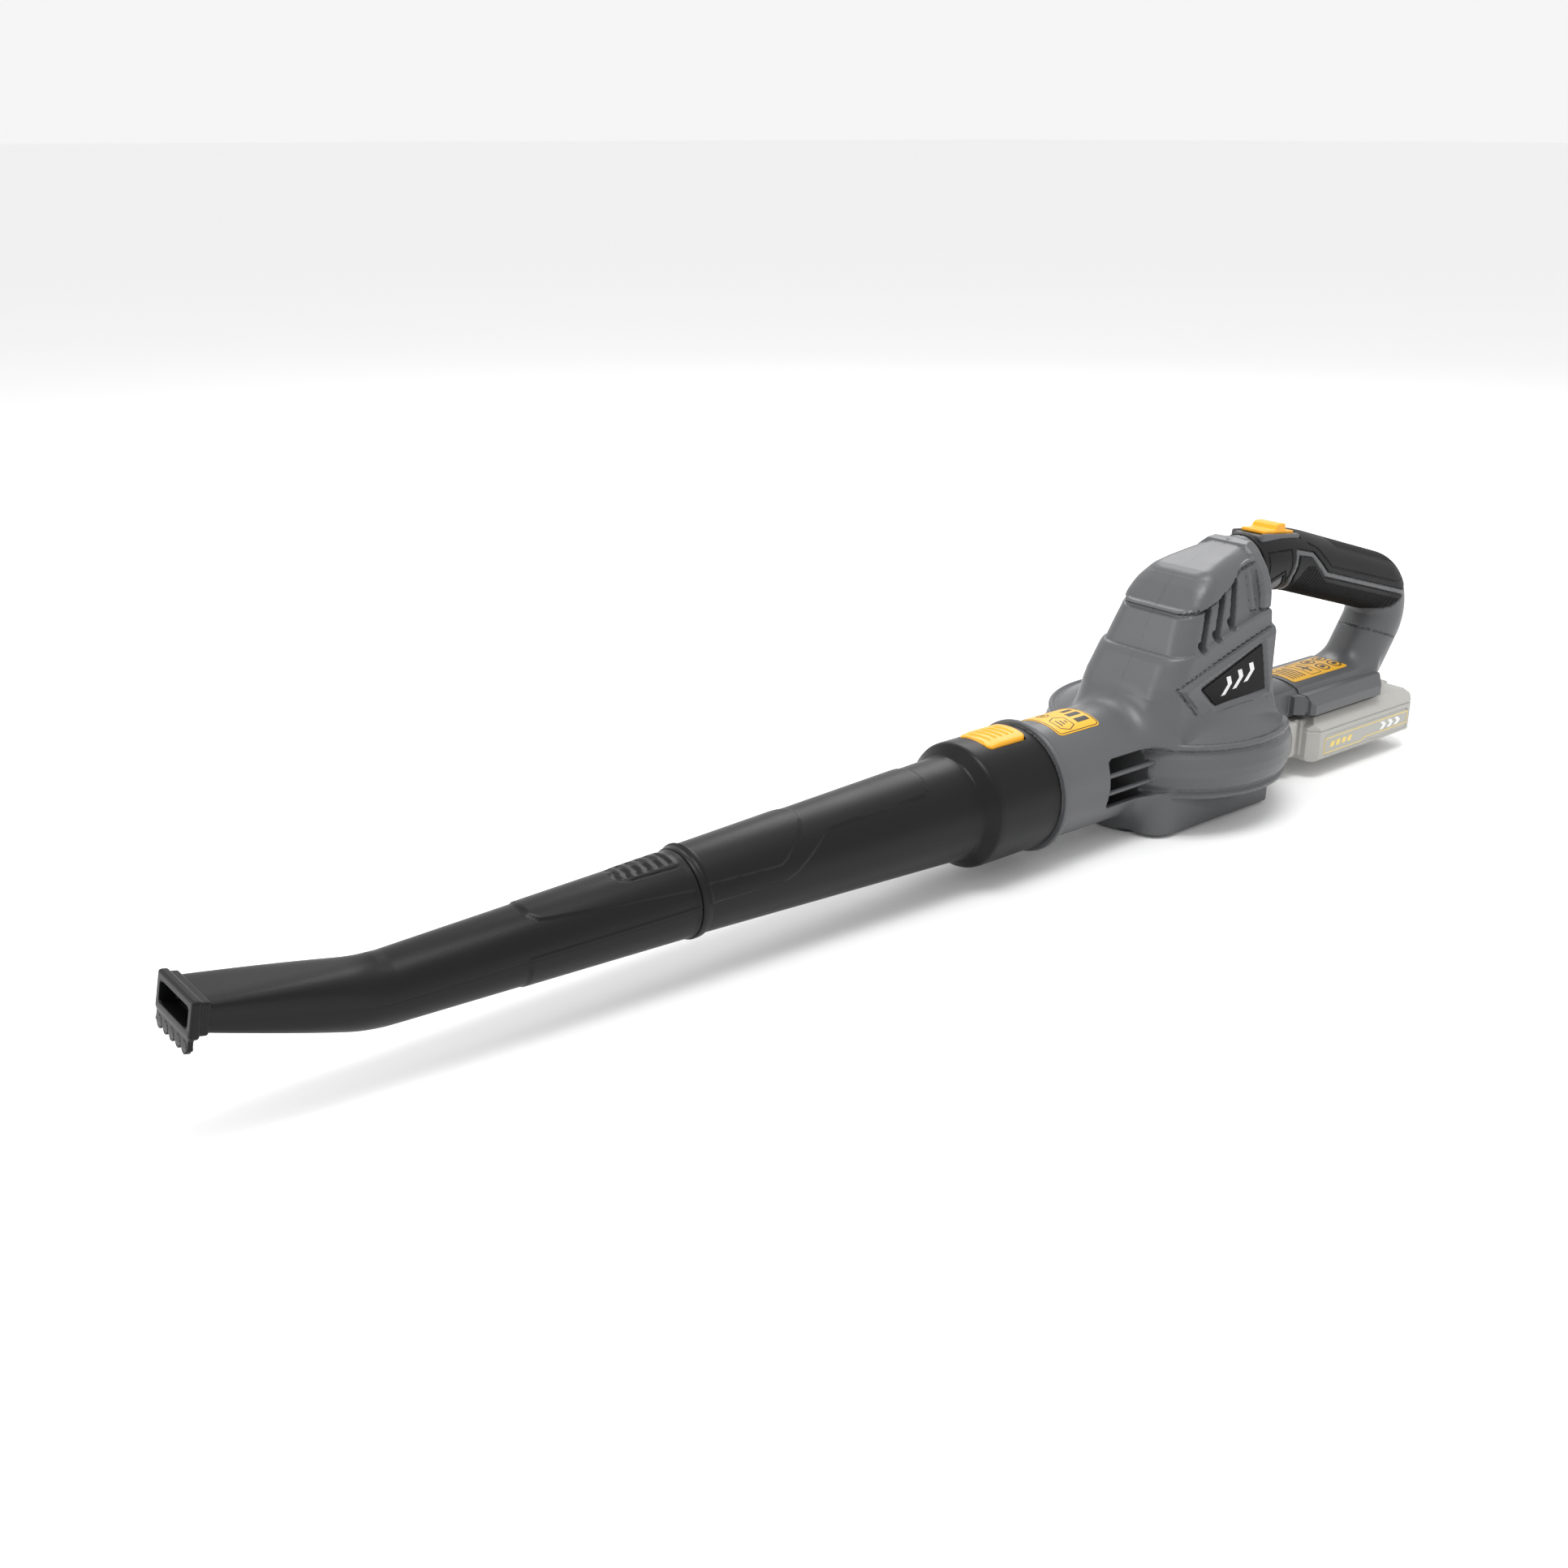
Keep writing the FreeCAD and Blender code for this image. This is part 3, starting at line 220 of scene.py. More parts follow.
def finish_piece(item, body, slot, material, *replaced):
    """Give a piece its material and body, and hide the nodes it stands for; the slot argument is not used."""
    item.data.materials.clear()
    item.data.materials.append(material)
    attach(item, body)
    if replaced:
        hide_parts(*replaced)
    return item


def carve(name, field, low, high, step):
    points, quads, normals = skin(field, low, high, step)
    return new_mesh(name, points, quads, normals)


def carve_tilted(name, field, low, high, step, at, lean):
    """A form worked out in its own frame, then turned about Y and set at (x, z)."""
    points, quads, normals = skin(field, low, high, step)
    turned = np.array(Matrix.Rotation(lean, 3, "Y"))
    return new_mesh(name, points @ turned.T + np.array((at[0], 0, at[1])), quads, normals @ turned.T)


def grid_faces(rows, columns, closed_rows):
    """Quads of a grid whose columns wrap round, and whose rows do too if asked."""
    last = rows if closed_rows else rows - 1
    row, column = np.meshgrid(np.arange(last), np.arange(columns), indexing="ij")
    after_row, after_column = (row + 1) % rows, (column + 1) % columns
    quad = [row * columns + column, row * columns + after_column,
            after_row * columns + after_column, after_row * columns + column]
    return np.stack([part.ravel() for part in quad], 1)


# ---- materials


def plastic(name, color, rough, grain=0.15, scale=900.0, blotch=0.04, coat=0.0, shine=0.5):
    """Moulded plastic or rubber: fine grain in the bump, faint blotches in colour and sheen."""
    material = bpy.data.materials.new(name)
    material.use_nodes = True
    tree = material.node_tree
    shader = tree.nodes["Principled BSDF"]
    for label, value in (("Specular IOR Level", shine), ("Coat Weight", coat), ("Coat Roughness", 0.25)):
        shader.inputs[label].default_value = value
    where = tree.nodes.new("ShaderNodeTexCoord")
    cloud, fine = tree.nodes.new("ShaderNodeTexNoise"), tree.nodes.new("ShaderNodeTexNoise")
    for noise, size, detail in ((cloud, 22.0, 5.0), (fine, scale, 2.0)):
        noise.inputs["Scale"].default_value = size
        noise.inputs["Detail"].default_value = detail
        tree.links.new(where.outputs["Object"], noise.inputs["Vector"])
    tint = tree.nodes.new("ShaderNodeMix")
    tint.data_type = "RGBA"
    tint.inputs[6].default_value = (*[part * (1 - blotch) for part in color], 1)
    tint.inputs[7].default_value = (*[min(1, part * (1 + blotch)) for part in color], 1)
    tree.links.new(cloud.outputs["Fac"], tint.inputs["Factor"])
    tree.links.new(tint.outputs[2], shader.inputs["Base Color"])
    sheen = tree.nodes.new("ShaderNodeMapRange")
    sheen.inputs["To Min"].default_value = rough - 0.05
    sheen.inputs["To Max"].default_value = rough + 0.06
    tree.links.new(cloud.outputs["Fac"], sheen.inputs["Value"])
    tree.links.new(sheen.outputs["Result"], shader.inputs["Roughness"])
    bump = tree.nodes.new("ShaderNodeBump")
    bump.inputs["Strength"].default_value = grain
    bump.inputs["Distance"].default_value = 0.0002
    tree.links.new(fine.outputs["Fac"], bump.inputs["Height"])
    tree.links.new(bump.outputs["Normal"], shader.inputs["Normal"])
    return material


def metal(name, color, rough):
    """Turned or stamped metal with fine streaks."""
    material = plastic(name, color, rough, 0.12, 700.0, 0.08)
    tree = material.node_tree
    tree.nodes["Principled BSDF"].inputs["Metallic"].default_value = 1.0
    stretch = tree.nodes.new("ShaderNodeMapping")
    stretch.inputs["Scale"].default_value = (1.0, 1.0, 12.0)
    where = tree.nodes["Texture Coordinate"]
    tree.links.new(where.outputs["Object"], stretch.inputs["Vector"])
    tree.links.new(stretch.outputs["Vector"], tree.nodes["Noise Texture"].inputs["Vector"])
    return material


GRAY = plastic("housing_gray", (0.088, 0.090, 0.094), 0.36, 0.25, 1100.0, 0.05, 0.0, 0.45)
BLACK = plastic("tube_black", (0.0050, 0.0050, 0.0054), 0.37, 0.25, 900.0, 0.10, 0.0, 0.22)
YELLOW = plastic("signal_yellow", (0.82, 0.365, 0.002), 0.36, 0.08, 800.0, 0.03)
RUBBER = plastic("grip_rubber", (0.0045, 0.0045, 0.005), 0.52, 0.35, 1300.0, 0.08, 0.0, 0.25)
BADGE = plastic("badge_black", (0.004, 0.0037, 0.0037), 0.5, 0.12, 1200.0, 0.06, 0.0, 0.15)
PRINT = plastic("print_white", (0.80, 0.80, 0.80), 0.5, 0.05, 900.0, 0.02)
LABEL = plastic("label_yellow", (0.76, 0.40, 0.015), 0.42, 0.06, 500.0, 0.03)
INK = plastic("label_ink", (0.008, 0.008, 0.009), 0.45, 0.05, 500.0, 0.03)
PALE = plastic("battery_gray", (0.41, 0.405, 0.38), 0.44, 0.18, 1000.0, 0.03)
TRIM = plastic("battery_trim", (0.80, 0.62, 0.18), 0.45, 0.05, 700.0, 0.03)
INNER = plastic("inner_black", (0.012, 0.012, 0.013), 0.5, 0.25, 900.0, 0.10)
FOOT = plastic("foot_rubber", (0.012, 0.012, 0.012), 0.7, 0.3, 1200.0, 0.08)
BOARD = plastic("board_green", (0.01, 0.08, 0.03), 0.35, 0.1, 400.0, 0.10)
RED = plastic("lead_red", (0.45, 0.012, 0.010), 0.45, 0.1, 600.0, 0.05)
CELL = plastic("cell_wrap", (0.03, 0.14, 0.32), 0.30, 0.05, 300.0, 0.05, 0.4)
STEEL = metal("screw_steel", (0.48, 0.48, 0.50), 0.30)
DRAWN = metal("motor_steel", (0.42, 0.42, 0.44), 0.34)
MAGNET = metal("magnet_dark", (0.05, 0.05, 0.055), 0.55)
BRASS = metal("contact_brass", (0.62, 0.42, 0.14), 0.28)
BY_SLOT = {
    "housing_gray": GRAY, "tube_black": BLACK, "signal_yellow": YELLOW, "grip_rubber": RUBBER,
    "badge_black": BADGE, "label_yellow": LABEL, "inner_black": INNER, "fan_plastic": INNER,
    "screw_steel": STEEL, "motor_steel": DRAWN, "magnet_dark": MAGNET, "foot_rubber": FOOT,
    "lead_red": RED, "lead_black": INNER, "contact_brass": BRASS, "battery_gray": PALE,
    "cell_wrap": CELL, "board_green": BOARD,
}


def finish_cad_nodes():
    for part in frame["record"]["subparts"]:
        item = NODES[part["node"]]
        item.data.materials.clear()
        item.data.materials.append(BY_SLOT[part["material_slot"]])


# ---- housing

FAN = (158.0, 10.0)
OUTLET_RAD = 38.8
BORE_RAD = 35.2
SCREWS = ((116.0, 52.0, 30.0), (176.0, 118.5, 18.0), (205.0, 100.0, 13.0), (379.5, 47.0, 13.0),
          (249.0, 2.6, 13.0), (96.0, -40.8, 12.0))
SCREW_HOLE_RAD = 3.7
# The casing's profile as (radius from the fan's axis, height): raised lips above and below a bulged wall.
CASING = [(0, -42), (47, -42), (58, -31), (76, -19.6), (79.0, -20.0), (81.4, -18.6), (81.6, -16.6),
          (79.9, -14.6), (82.6, -10.5), (84.5, -4), (84.5, 2), (82.7, 8.5), (79.8, 12.8), (81.6, 14.6),
          (81.4, 17.0), (79.6, 18.2), (76.6, 16.6), (62, 25), (46, 34), (0, 34)]
CASING_REAR = CASING[:3] + [(74, -20.5), (79, -16), (82.8, -10), (84.5, -4), (84.5, 1), (82.9, 7),
                            (79.5, 12.5), (74, 17.5)] + CASING[-3:]
FEET_LOW = -48.0
BASE_LOW = -46.0
FRONT_FOOT = (111.0, 0.0, 29.0)
BADGE_FRAME = [(104, 52), (128, 25), (203, 31), (203, 80), (133, 61)]
BADGE_SHAPE = [(127.0, 48.8), (142.3, 34.5), (194.8, 36.4), (187.0, 69.2)]
VENTS = (((139.5, 98.0), (131.0, 73.8)), ((155.0, 104.2), (146.2, 78.6)), ((168.4, 110.4), (162.0, 84.0)))
SWITCH_AT = (237.0, 130.6)
SWITCH_TILT = math.radians(7.0)
CROWN_RAD = 56.0
CROWN_CENTRE = -34.5
RAIL_HALF = 35.6
SEAM_X = 262.0
HANDLE_RAD = 21.2
GRIP_SEAT = 1.5
GRIP_RAD = 21.7
ZIGZAG = [(250.5, 88.0), (243.4, 101.0), (247.4, 118.4), (265.0, 114.0), (282.5, 97.6), (384.0, 68.4),
          (404, 71.5)]
GRIP_ZONE = [(209, 150), (412, 150), (412, 77), (386, 72.0), (381, 65.5), (371, 59.5), (352, 56), (340, 48),
             (262, 48), (246, 84), (238, 90), (232.6, 104.4), (215.3, 97), (209, 97)]
GRIP_UNDER = [(250, 98), (257, 108), (266, 107), (284, 92), (378, 65), (368, 60), (350, 55), (300, 40),
              (255, 60), (253, 84)]
GRIP_OVER = [(290, 128), (300, 104), (384, 78), (400, 90), (350, 120)]
GRIP_PANEL = [(214.5, 122), (214, 101), (232, 108), (238, 99), (240, 121)]
GRIP_TRACE = [(262, 122), (272, 117), (286, 103), (372, 78.5), (386, 79), (398, 92)]
HANDLE_WEB = [(196, 100), (233, 99), (224, 90), (213, 80), (205, 72), (196, 68)]
HANDLE_CORNERS = ((176.0, 107.5), (240.0, 114.5), (395.0, 68.0), (351.0, 5.0))
HANDLE_BENDS = (150.0, 24.0)


def handle_path():
    """Straight runs and arcs of the handle's centre line."""
    corners = [np.array(corner) for corner in HANDLE_CORNERS]
    runs, arcs = [], []
    start = corners[0]
    for before, corner, after, bend in zip(corners, corners[1:], corners[2:], HANDLE_BENDS):
        back = (before - corner) / np.linalg.norm(before - corner)
        ahead = (after - corner) / np.linalg.norm(after - corner)
        half = math.acos(float(back @ ahead)) / 2
        enter = corner + back * bend / math.tan(half)
        leave = corner + ahead * bend / math.tan(half)
        middle = (back + ahead) / np.linalg.norm(back + ahead)
        runs.append((start, enter))
        arcs.append((corner + middle * bend / math.sin(half), bend, enter, leave))
        start = leave
    runs.append((start, corners[-1]))
    return runs, arcs


RUNS, ARCS = handle_path()


def handle_out(x, z):
    """Distance from the handle's centre line within its plane."""
    nearest = np.full(x.shape, 1e9)
    for start, end in RUNS:
        nearest = np.minimum(nearest, polyline(x, z, [tuple(start), tuple(end)]))
    for centre, bend, enter, leave in ARCS:
        u, v = x - centre[0], z - centre[1]
        first, last = enter - centre, leave - centre
        within = (first[0] * v - first[1] * u <= 0) & (last[0] * v - last[1] * u >= 0)
        nearest = np.where(within, np.minimum(nearest, np.abs(np.hypot(u, v) - bend)), nearest)
    return nearest


def on_switch(x, z):
    """Coordinates along and above the slide switch's tilted seat."""
    u, w = x - SWITCH_AT[0], z - SWITCH_AT[1]
    turn = SWITCH_TILT
    return u * math.cos(turn) - w * math.sin(turn), u * math.sin(turn) + w * math.cos(turn)


def groove(body, line, half, depth):
    """Cut a channel along line = 0 into the body's skin."""
    return smooth_max(body, -np.maximum(np.abs(line) - half, -(body + depth)), 0.5)


def groove_height(x):
    """Height of the groove under the hood's cap, which climbs to the rear."""
    return np.interp(x, [116, 124, 135, 147, 162, 177, 186, 205],
                     [93.5, 95.5, 98.5, 102, 109, 118.2, 120.5, 121])


def cap_height(x):
    """Height of the hood's top along its middle."""
    return np.interp(x, [118, 121, 125, 129.3, 133.7, 139.4, 147.8, 160, 172.7, 199, 210],
                     [90, 95, 100.5, 106.5, 111.8, 116.6, 120.2, 123.6, 126.2, 130.6, 132])


def lower_tier(x, y, z):
    """The hood's three tiers, each set back from the one below."""
    ledge = np.interp(x, [94, 112, 124, 159, 189, 205], [70.5, 71, 72, 82, 89, 91])
    front = np.interp(z, [20, 45, 52, 59, 66, 72, 76], [88, 92, 94.5, 98.7, 102.6, 107, 110])
    half = np.interp(z, [20, 45, 66, 90], [44, 40, 38, 36.8])
    return smooth_max(plan(x, y, front, 232, half, 17), (z - ledge) * 0.96, 2.2)


def middle_tier(x, y, z):
    front = np.interp(z, [60, 71.5, 83.4, 91.9, 99], [104, 109.7, 114.7, 118.7, 121.5])
    half = np.interp(z, [66, 72, 96, 124], [36.6, 36.0, 31.6, 25])
    return smooth_max(plan(x, y, front, 232, half, 14), (z - groove_height(x) - 3) * 0.95, 2.0)


def cap_half_width(z):
    return np.interp(z, [94, 101, 109, 116, 122, 126, 132], [33.4, 33.0, 31.0, 27.8, 23.6, 20.2, 12.5])


def cap_tier(x, y, z):
    front = np.interp(z, [92, 96, 101, 106, 111.5, 116], [120, 121.4, 124, 127.4, 132, 137])
    cap = smooth_max(plan(x, y, front, 232, cap_half_width(z), 15), (z - cap_height(x)) * 0.9, 7.0)
    return smooth_max(cap, (groove_height(x) - z) * 0.95, 1.6)


def rear_rim(x, y, z):
    """The raised collar where the hood meets the handle."""
    band = np.maximum(plan(x, y, 150, 232, cap_half_width(z) + 2.2, 6), (z - cap_height(x) - 1.6) * 0.95)
    return bevel_max(bevel_max(band, 190.5 - x, 2.2), 88.5 - z, 3.0)


def upright_strip(x, y, z):
    """The narrow raised strip behind the vents."""
    half = np.interp(z, [66, 72, 96, 124], [37.6, 37.2, 33.0, 26.6])
    band = np.maximum(plan(x, y, 150, 232, half, 6), z - groove_height(x) + 1.0)
    strip = bevel_max(band, np.abs(x - 183.5 + (z - 100) * 0.06) - 3.0, 1.2)
    return np.maximum(strip, 91 - z)


def badge_frame(body, x, z, side, rear):
    """Add the bevelled frame round the badge, its outline and the badge's seat."""
    frame_edge = polygon(x, z, BADGE_FRAME)
    raised = smooth_max(bevel_max(frame_edge, side - 42.2, 3.4), rear, 2.0)
    body = smooth_min(body, raised, 1.4)
    body = groove(body, np.where((side > 20) & (x < 198), frame_edge + 0.4, FAR), 0.5, 0.9)
    bevel = np.clip(side - 40.4, 0, 3) * 1.6
    seat = np.maximum(polygon(x, z, BADGE_SHAPE) - 0.4 - bevel, 39.9 - side)
    return np.maximum(body, -seat)


def hood(x, y, z):
    """The stepped hood over the motor, with its badge frames and vents."""
    side = np.abs(y)
    rear = x - 201.5 - np.clip((92 - z) * 0.06, 0, 5)
    tiers = np.minimum.reduce([lower_tier(x, y, z), middle_tier(x, y, z), cap_tier(x, y, z)])
    tiers = groove(tiers, (z - groove_height(x)) * 0.93, 0.9, 1.7)
    tiers = np.minimum.reduce([tiers, rear_rim(x, y, z), upright_strip(x, y, z)])
    tiers = badge_frame(smooth_max(tiers, rear, 3.0), x, z, side, rear)
    for top, foot in VENTS:
        hook = (foot[0] - 2.2, foot[1] + 3.0)
        slot = np.minimum(polyline(x, z, [foot, top]) - 2.9, polyline(x, z, [foot, hook]) - 2.2)
        tiers = smooth_max(tiers, -np.maximum(slot, 20.0 - side), 0.8)
    return tiers


def fan_casing(x, y, z):
    """The round casing: its lips fade out towards the rear."""
    out = np.hypot(x - FAN[0], y - FAN[1])
    share = np.clip((x - 196) / 28, 0, 1)
    share = share * share * (3 - 2 * share)
    return polygon(out, z, CASING) * (1 - share) + polygon(out, z, CASING_REAR) * share


def base(x, y, z):
    """The block under the casing, with the bosses of the rear feet and the round front foot."""
    rise = np.clip(z - BASE_LOW, 0, 34)
    slab = plan(x, y - FAN[1], 124 - 0.3 * rise, 206 + 0.45 * rise, 30 + 0.5 * rise, 12)
    slab = smooth_max(slab * 0.9, np.abs(z + 30) - 16, 3.0)
    boss = np.maximum(np.hypot(x - 207, np.abs(y - FAN[1]) - 29) - 7, np.abs(z + 33) - 13)
    foot_x, foot_y, foot_rad = FRONT_FOOT
    foot = smooth_max(np.hypot(x - foot_x, y - foot_y) - foot_rad, np.abs(z + 31) - 17, 3.0)
    return smooth_min(smooth_min(slab, boss, 2.0), foot, 2.5)


def rails(x, y, z):
    """The pair of bevelled rails that the battery slides under."""
    side = np.abs(y) - RAIL_HALF
    top, front, rear = z - 14, 254.5 - x, x - 352
    body = np.maximum.reduce([side, top, 0.8 - z, front, rear])
    for edge, width in ((top, 6.5), (front, 11), (rear, 7)):
        body = np.maximum(body, (edge + side + width) * HALF_ROOT)
    return body - 0.4


def handle_and_receiver(x, y, z):
    crown = np.hypot(y, z - CROWN_CENTRE) - CROWN_RAD
    receiver = block(x, y, z, (261.5, -22.0, -3.0), (357.0, 22.0, 40.0), 1.5)
    rubber = np.clip(-grip_edge(x, z), -0.8, 0.8) / 1.6 + 0.5
    handle = np.hypot(handle_out(x, z), y) - (HANDLE_RAD - GRIP_SEAT * rubber)
    loop = smooth_min(handle, smooth_max(receiver, crown, 3.0), 9.0)
    web = smooth_max(polygon(x, z, HANDLE_WEB), np.abs(y) - 15, 6.0)
    return smooth_min(np.maximum(loop, 196 - x), web, 6.0)


def hollows(x, y, z):
    """The spaces that can be seen into: battery slot, air path, motor space, screws and seats."""
    side = np.abs(y)
    along_bore = np.hypot(y, z)
    out = np.hypot(x - FAN[0], y - FAN[1])
    u, w = on_switch(x, z)
    slot = np.maximum.reduce([side - 18.2, 3 - z, z - 15, SEAM_X - x])
    slot_neck = np.maximum.reduce([side - 14.4, z - 3.2, SEAM_X - x, -8 - z])
    pack_space = np.maximum.reduce([side - 39, z + 3.0, SEAM_X - x])
    bore = np.maximum(along_bore - BORE_RAD, np.abs(x - 18) - 68)
    fan_space = np.maximum(out - 58, np.abs(z + 2) - 13)
    motor_space = np.maximum(out - 17.5, np.abs(z - 50) - 43)
    intake = np.maximum(out - 29, z + 10)
    guard_seat = np.maximum(out - 34.2, z + 43.5)
    button_seat = np.maximum.reduce([side - 15, 20 - z, 36.5 - along_bore, x + 4])
    switch_seat = np.maximum.reduce([np.abs(u + 4) - 20.4, side - 10.8, -0.4 - w])
    switch_stem = np.maximum.reduce([np.abs(u + 4) - 10, side - 3, -14 - w])
    spaces = [slot, slot_neck, pack_space, bore, fan_space, motor_space, intake, guard_seat, button_seat,
              switch_seat, switch_stem]
    for screw_x, screw_z, head in SCREWS:
        spaces.append(np.maximum(np.hypot(x - screw_x, z - screw_z) - SCREW_HOLE_RAD, head - y))
    return np.minimum.reduce(spaces)


def housing(x, y, z):
    """The whole housing, from the outlet to the battery rails."""
    body = smooth_min(barrel(x, y, z, OUTLET_RAD, -1.0, 118.0), hood(x, y, z), 15.0)
    recess = block(x, y, z, (46.0, -90.0, -16.2), (100.0, -27.0, 16.4), 4.0)
    body = smooth_max(body, -recess, 1.4)
    spread_over = np.where(np.abs(y) > 25, 3.5, 9.0) + np.clip(z - 16, 0, 12) * 0.5
    body = smooth_min(body, fan_casing(x, y, z), spread_over)
    for level in (6.0, -5.6):
        fin = block(x, y, z, (42.0, -38.0, level - 1.15), (92.0, -24.0, level + 1.15), 0.7)
        body = np.minimum(body, fin)
    body = smooth_min(body, base(x, y, z), 5.0)
    under_foot = np.hypot(x - FRONT_FOOT[0], y - FRONT_FOOT[1]) < FRONT_FOOT[2] + 0.6
    body = smooth_max(body, np.where(under_foot, FEET_LOW, BASE_LOW) - z, 0.6)
    body = smooth_min(body, barrel(x, y, z, 43.0, 0.0, 3.6, 1.5), 1.2)
    body = np.minimum(body, barrel(x, y, z, 37.6, -46.0, 1.0, 0.6))
    crown = np.hypot(y, z - CROWN_CENTRE) - CROWN_RAD
    bridge = block(x, y, z, (186.0, -21.0, -3.0), (262.0, 21.0, 40.0), 2.0)
    body = smooth_min(body, smooth_max(bridge, crown + 0.6, 2.0), 6.0)
    body = smooth_min(body, handle_and_receiver(x, y, z), 3.0)
    u, w = on_switch(x, z)
    island = block(u, y, w, (-22.5, -13.2, -16.0), (20.0, 13.2, 0.9), 1.2)
    body = np.minimum(body, np.maximum(island, 200 - x))
    body = smooth_min(body, rails(x, y, z), 1.5)
    neck_line = np.where(x > 330, (z - 41 + (x - 362) * 0.36) * 0.94, FAR)
    body = groove(body, neck_line, 0.5, 1.0)
    body = groove(body, np.where((z < 30) & (z > -6), x - SEAM_X, FAR), 0.6, 1.4)
    return np.maximum(body, -hollows(x, y, z))


def grip_edge(x, z):
    """Below zero where the rubber is, seen from the side."""
    return np.maximum(polygon(x, z, GRIP_ZONE), 1.9 - polyline(x, z, ZIGZAG))


def seamed(field, deep):
    """The whole form with a fine groove along its joint at y = 0."""
    def form(x, y, z):
        return field(x, y, z) + deep * np.clip(1 - np.abs(y) / 0.6, 0, 1)
    return form


def carve_half(name, field, low, high, step, sign):
    """One side of a form that is split at y = 0, with its cut edge laid on the form again."""
    item = carve(name, field, low, high, step)
    form = bmesh.new()
    form.from_mesh(item.data)
    bmesh.ops.bisect_plane(form, geom=form.verts[:] + form.edges[:] + form.faces[:], plane_co=(0, 0, 0),
                           plane_no=(0, -sign, 0), clear_outer=True)
    form.to_mesh(item.data)
    form.free()
    mesh = item.data
    points = np.empty(len(mesh.vertices) * 3)
    mesh.vertices.foreach_get("co", points)
    points = points.reshape(-1, 3) / MM
    joint = np.abs(points[:, 1]) < 1e-3
    normals = slope(field, points, 0.08)
    away = field(points[:, 0], points[:, 1], points[:, 2])
    flat = normals * np.array((1, 0, 1))
    points[joint] -= (flat * np.clip(away, -0.6, 0.6)[:, None])[joint]
    mesh.vertices.foreach_set("co", (points * MM).ravel())
    mesh.update()
    mesh.shade_smooth()
    mesh.normals_split_custom_set_from_vertices(slope(field, points, 0.08).tolist())
    return item


def grip(x, y, z):
    """The rubber cover over the handle, ribbed under and over."""
    side = np.abs(y)
    out = handle_out(x, z)
    u, w = on_switch(x, z)
    island_space = np.maximum.reduce([np.abs(u + 1.2) - 21.8, side - 13.7, -4 - w])
    along = x * 0.958 - z * 0.287
    ribs = np.abs(((along / 3.6) % 1.0) - 0.5) * 2.0
    valley = 1 - np.clip(ribs * 1.7 - 0.45, 0, 1)
    under = np.clip(-polygon(x, z, GRIP_UNDER) / 1.2, 0, 1)
    over = np.clip(-polygon(x, z, GRIP_OVER) / 4.0, 0, 1) * np.clip((16.5 - side) / 5, 0, 1)
    shell = np.hypot(out, y) - GRIP_RAD + valley * (1.15 * under + 0.75 * over)
    shell = groove(shell, np.where(side > 12, polygon(x, z, GRIP_PANEL), FAR), 0.5, 0.7)
    shell = groove(shell, np.where(side > 8, polyline(x, z, GRIP_TRACE), FAR), 0.5, 0.6)
    shell = smooth_max(shell, grip_edge(x, z) * 0.95 + 0.25, 1.0)
    shell = np.maximum(shell, -island_space)
    return np.maximum(shell, 19.0 - np.hypot(out, y))


# ---- tubes


def smooth_step(value, width):
    """Rises from 0 to 1 as the value crosses zero."""
    share = np.clip(value / width + 0.5, 0, 1)
    return share * share * (3 - 2 * share)


def mirrored(points, radius):
    """A panel's closed outline from its near half, given as (x, degrees from the top)."""
    near = [(x, math.radians(degrees) * radius) for x, degrees in points]
    return near + [(x, -v) for x, v in reversed(near)]


def raised(angle, x, points, width=0.9, radius=28.0):
    """One inside the panel drawn by points, fading to nothing over width."""
    return smooth_step(-polygon(x, angle * radius, mirrored(points, radius)), width)


PANEL_STEP = 0.85
PANEL_UPPER = [(-262, 61), (-211, 66), (-206, 61), (-199.5, 50), (-190, 33), (-185, 18), (-183, 4)]
PANEL_LOWER = [(-262, 86), (-208, 85), (-200, 79), (-189, 65), (-176, 47), (-169, 42.5), (-99, 41),
               (-94.5, 35), (-92.5, 18), (-92, 4)]


def wrap(profile, columns, outer_rows, shape):
    """A tube mesh from profile rows of (x, radius); shape(x, angle) adds to the radius on the outer rows."""
    angle = np.linspace(-math.pi, math.pi, columns, endpoint=False)
    rows = np.array(profile)
    x = np.repeat(rows[:, :1], columns, 1)
    radius = np.repeat(rows[:, 1:2], columns, 1)
    turn = np.repeat(angle[None], len(rows), 0)
    radius[:outer_rows] += shape(x[:outer_rows], turn[:outer_rows])
    points = np.stack([x, -radius * np.sin(turn), radius * np.cos(turn)], -1)
    return points.reshape(-1, 3), grid_faces(len(rows), columns, True)


def spread(points, step):
    """More points along a profile, keeping its corners."""
    rows = []
    for (x0, r0), (x1, r1) in zip(points, points[1:]):
        count = max(1, int(round(math.hypot(x1 - x0, r1 - r0) / step)))
        for n in range(count):
            rows.append((x0 + (x1 - x0) * n / count, r0 + (r1 - r0) * n / count))
    rows.append(points[-1])
    return rows


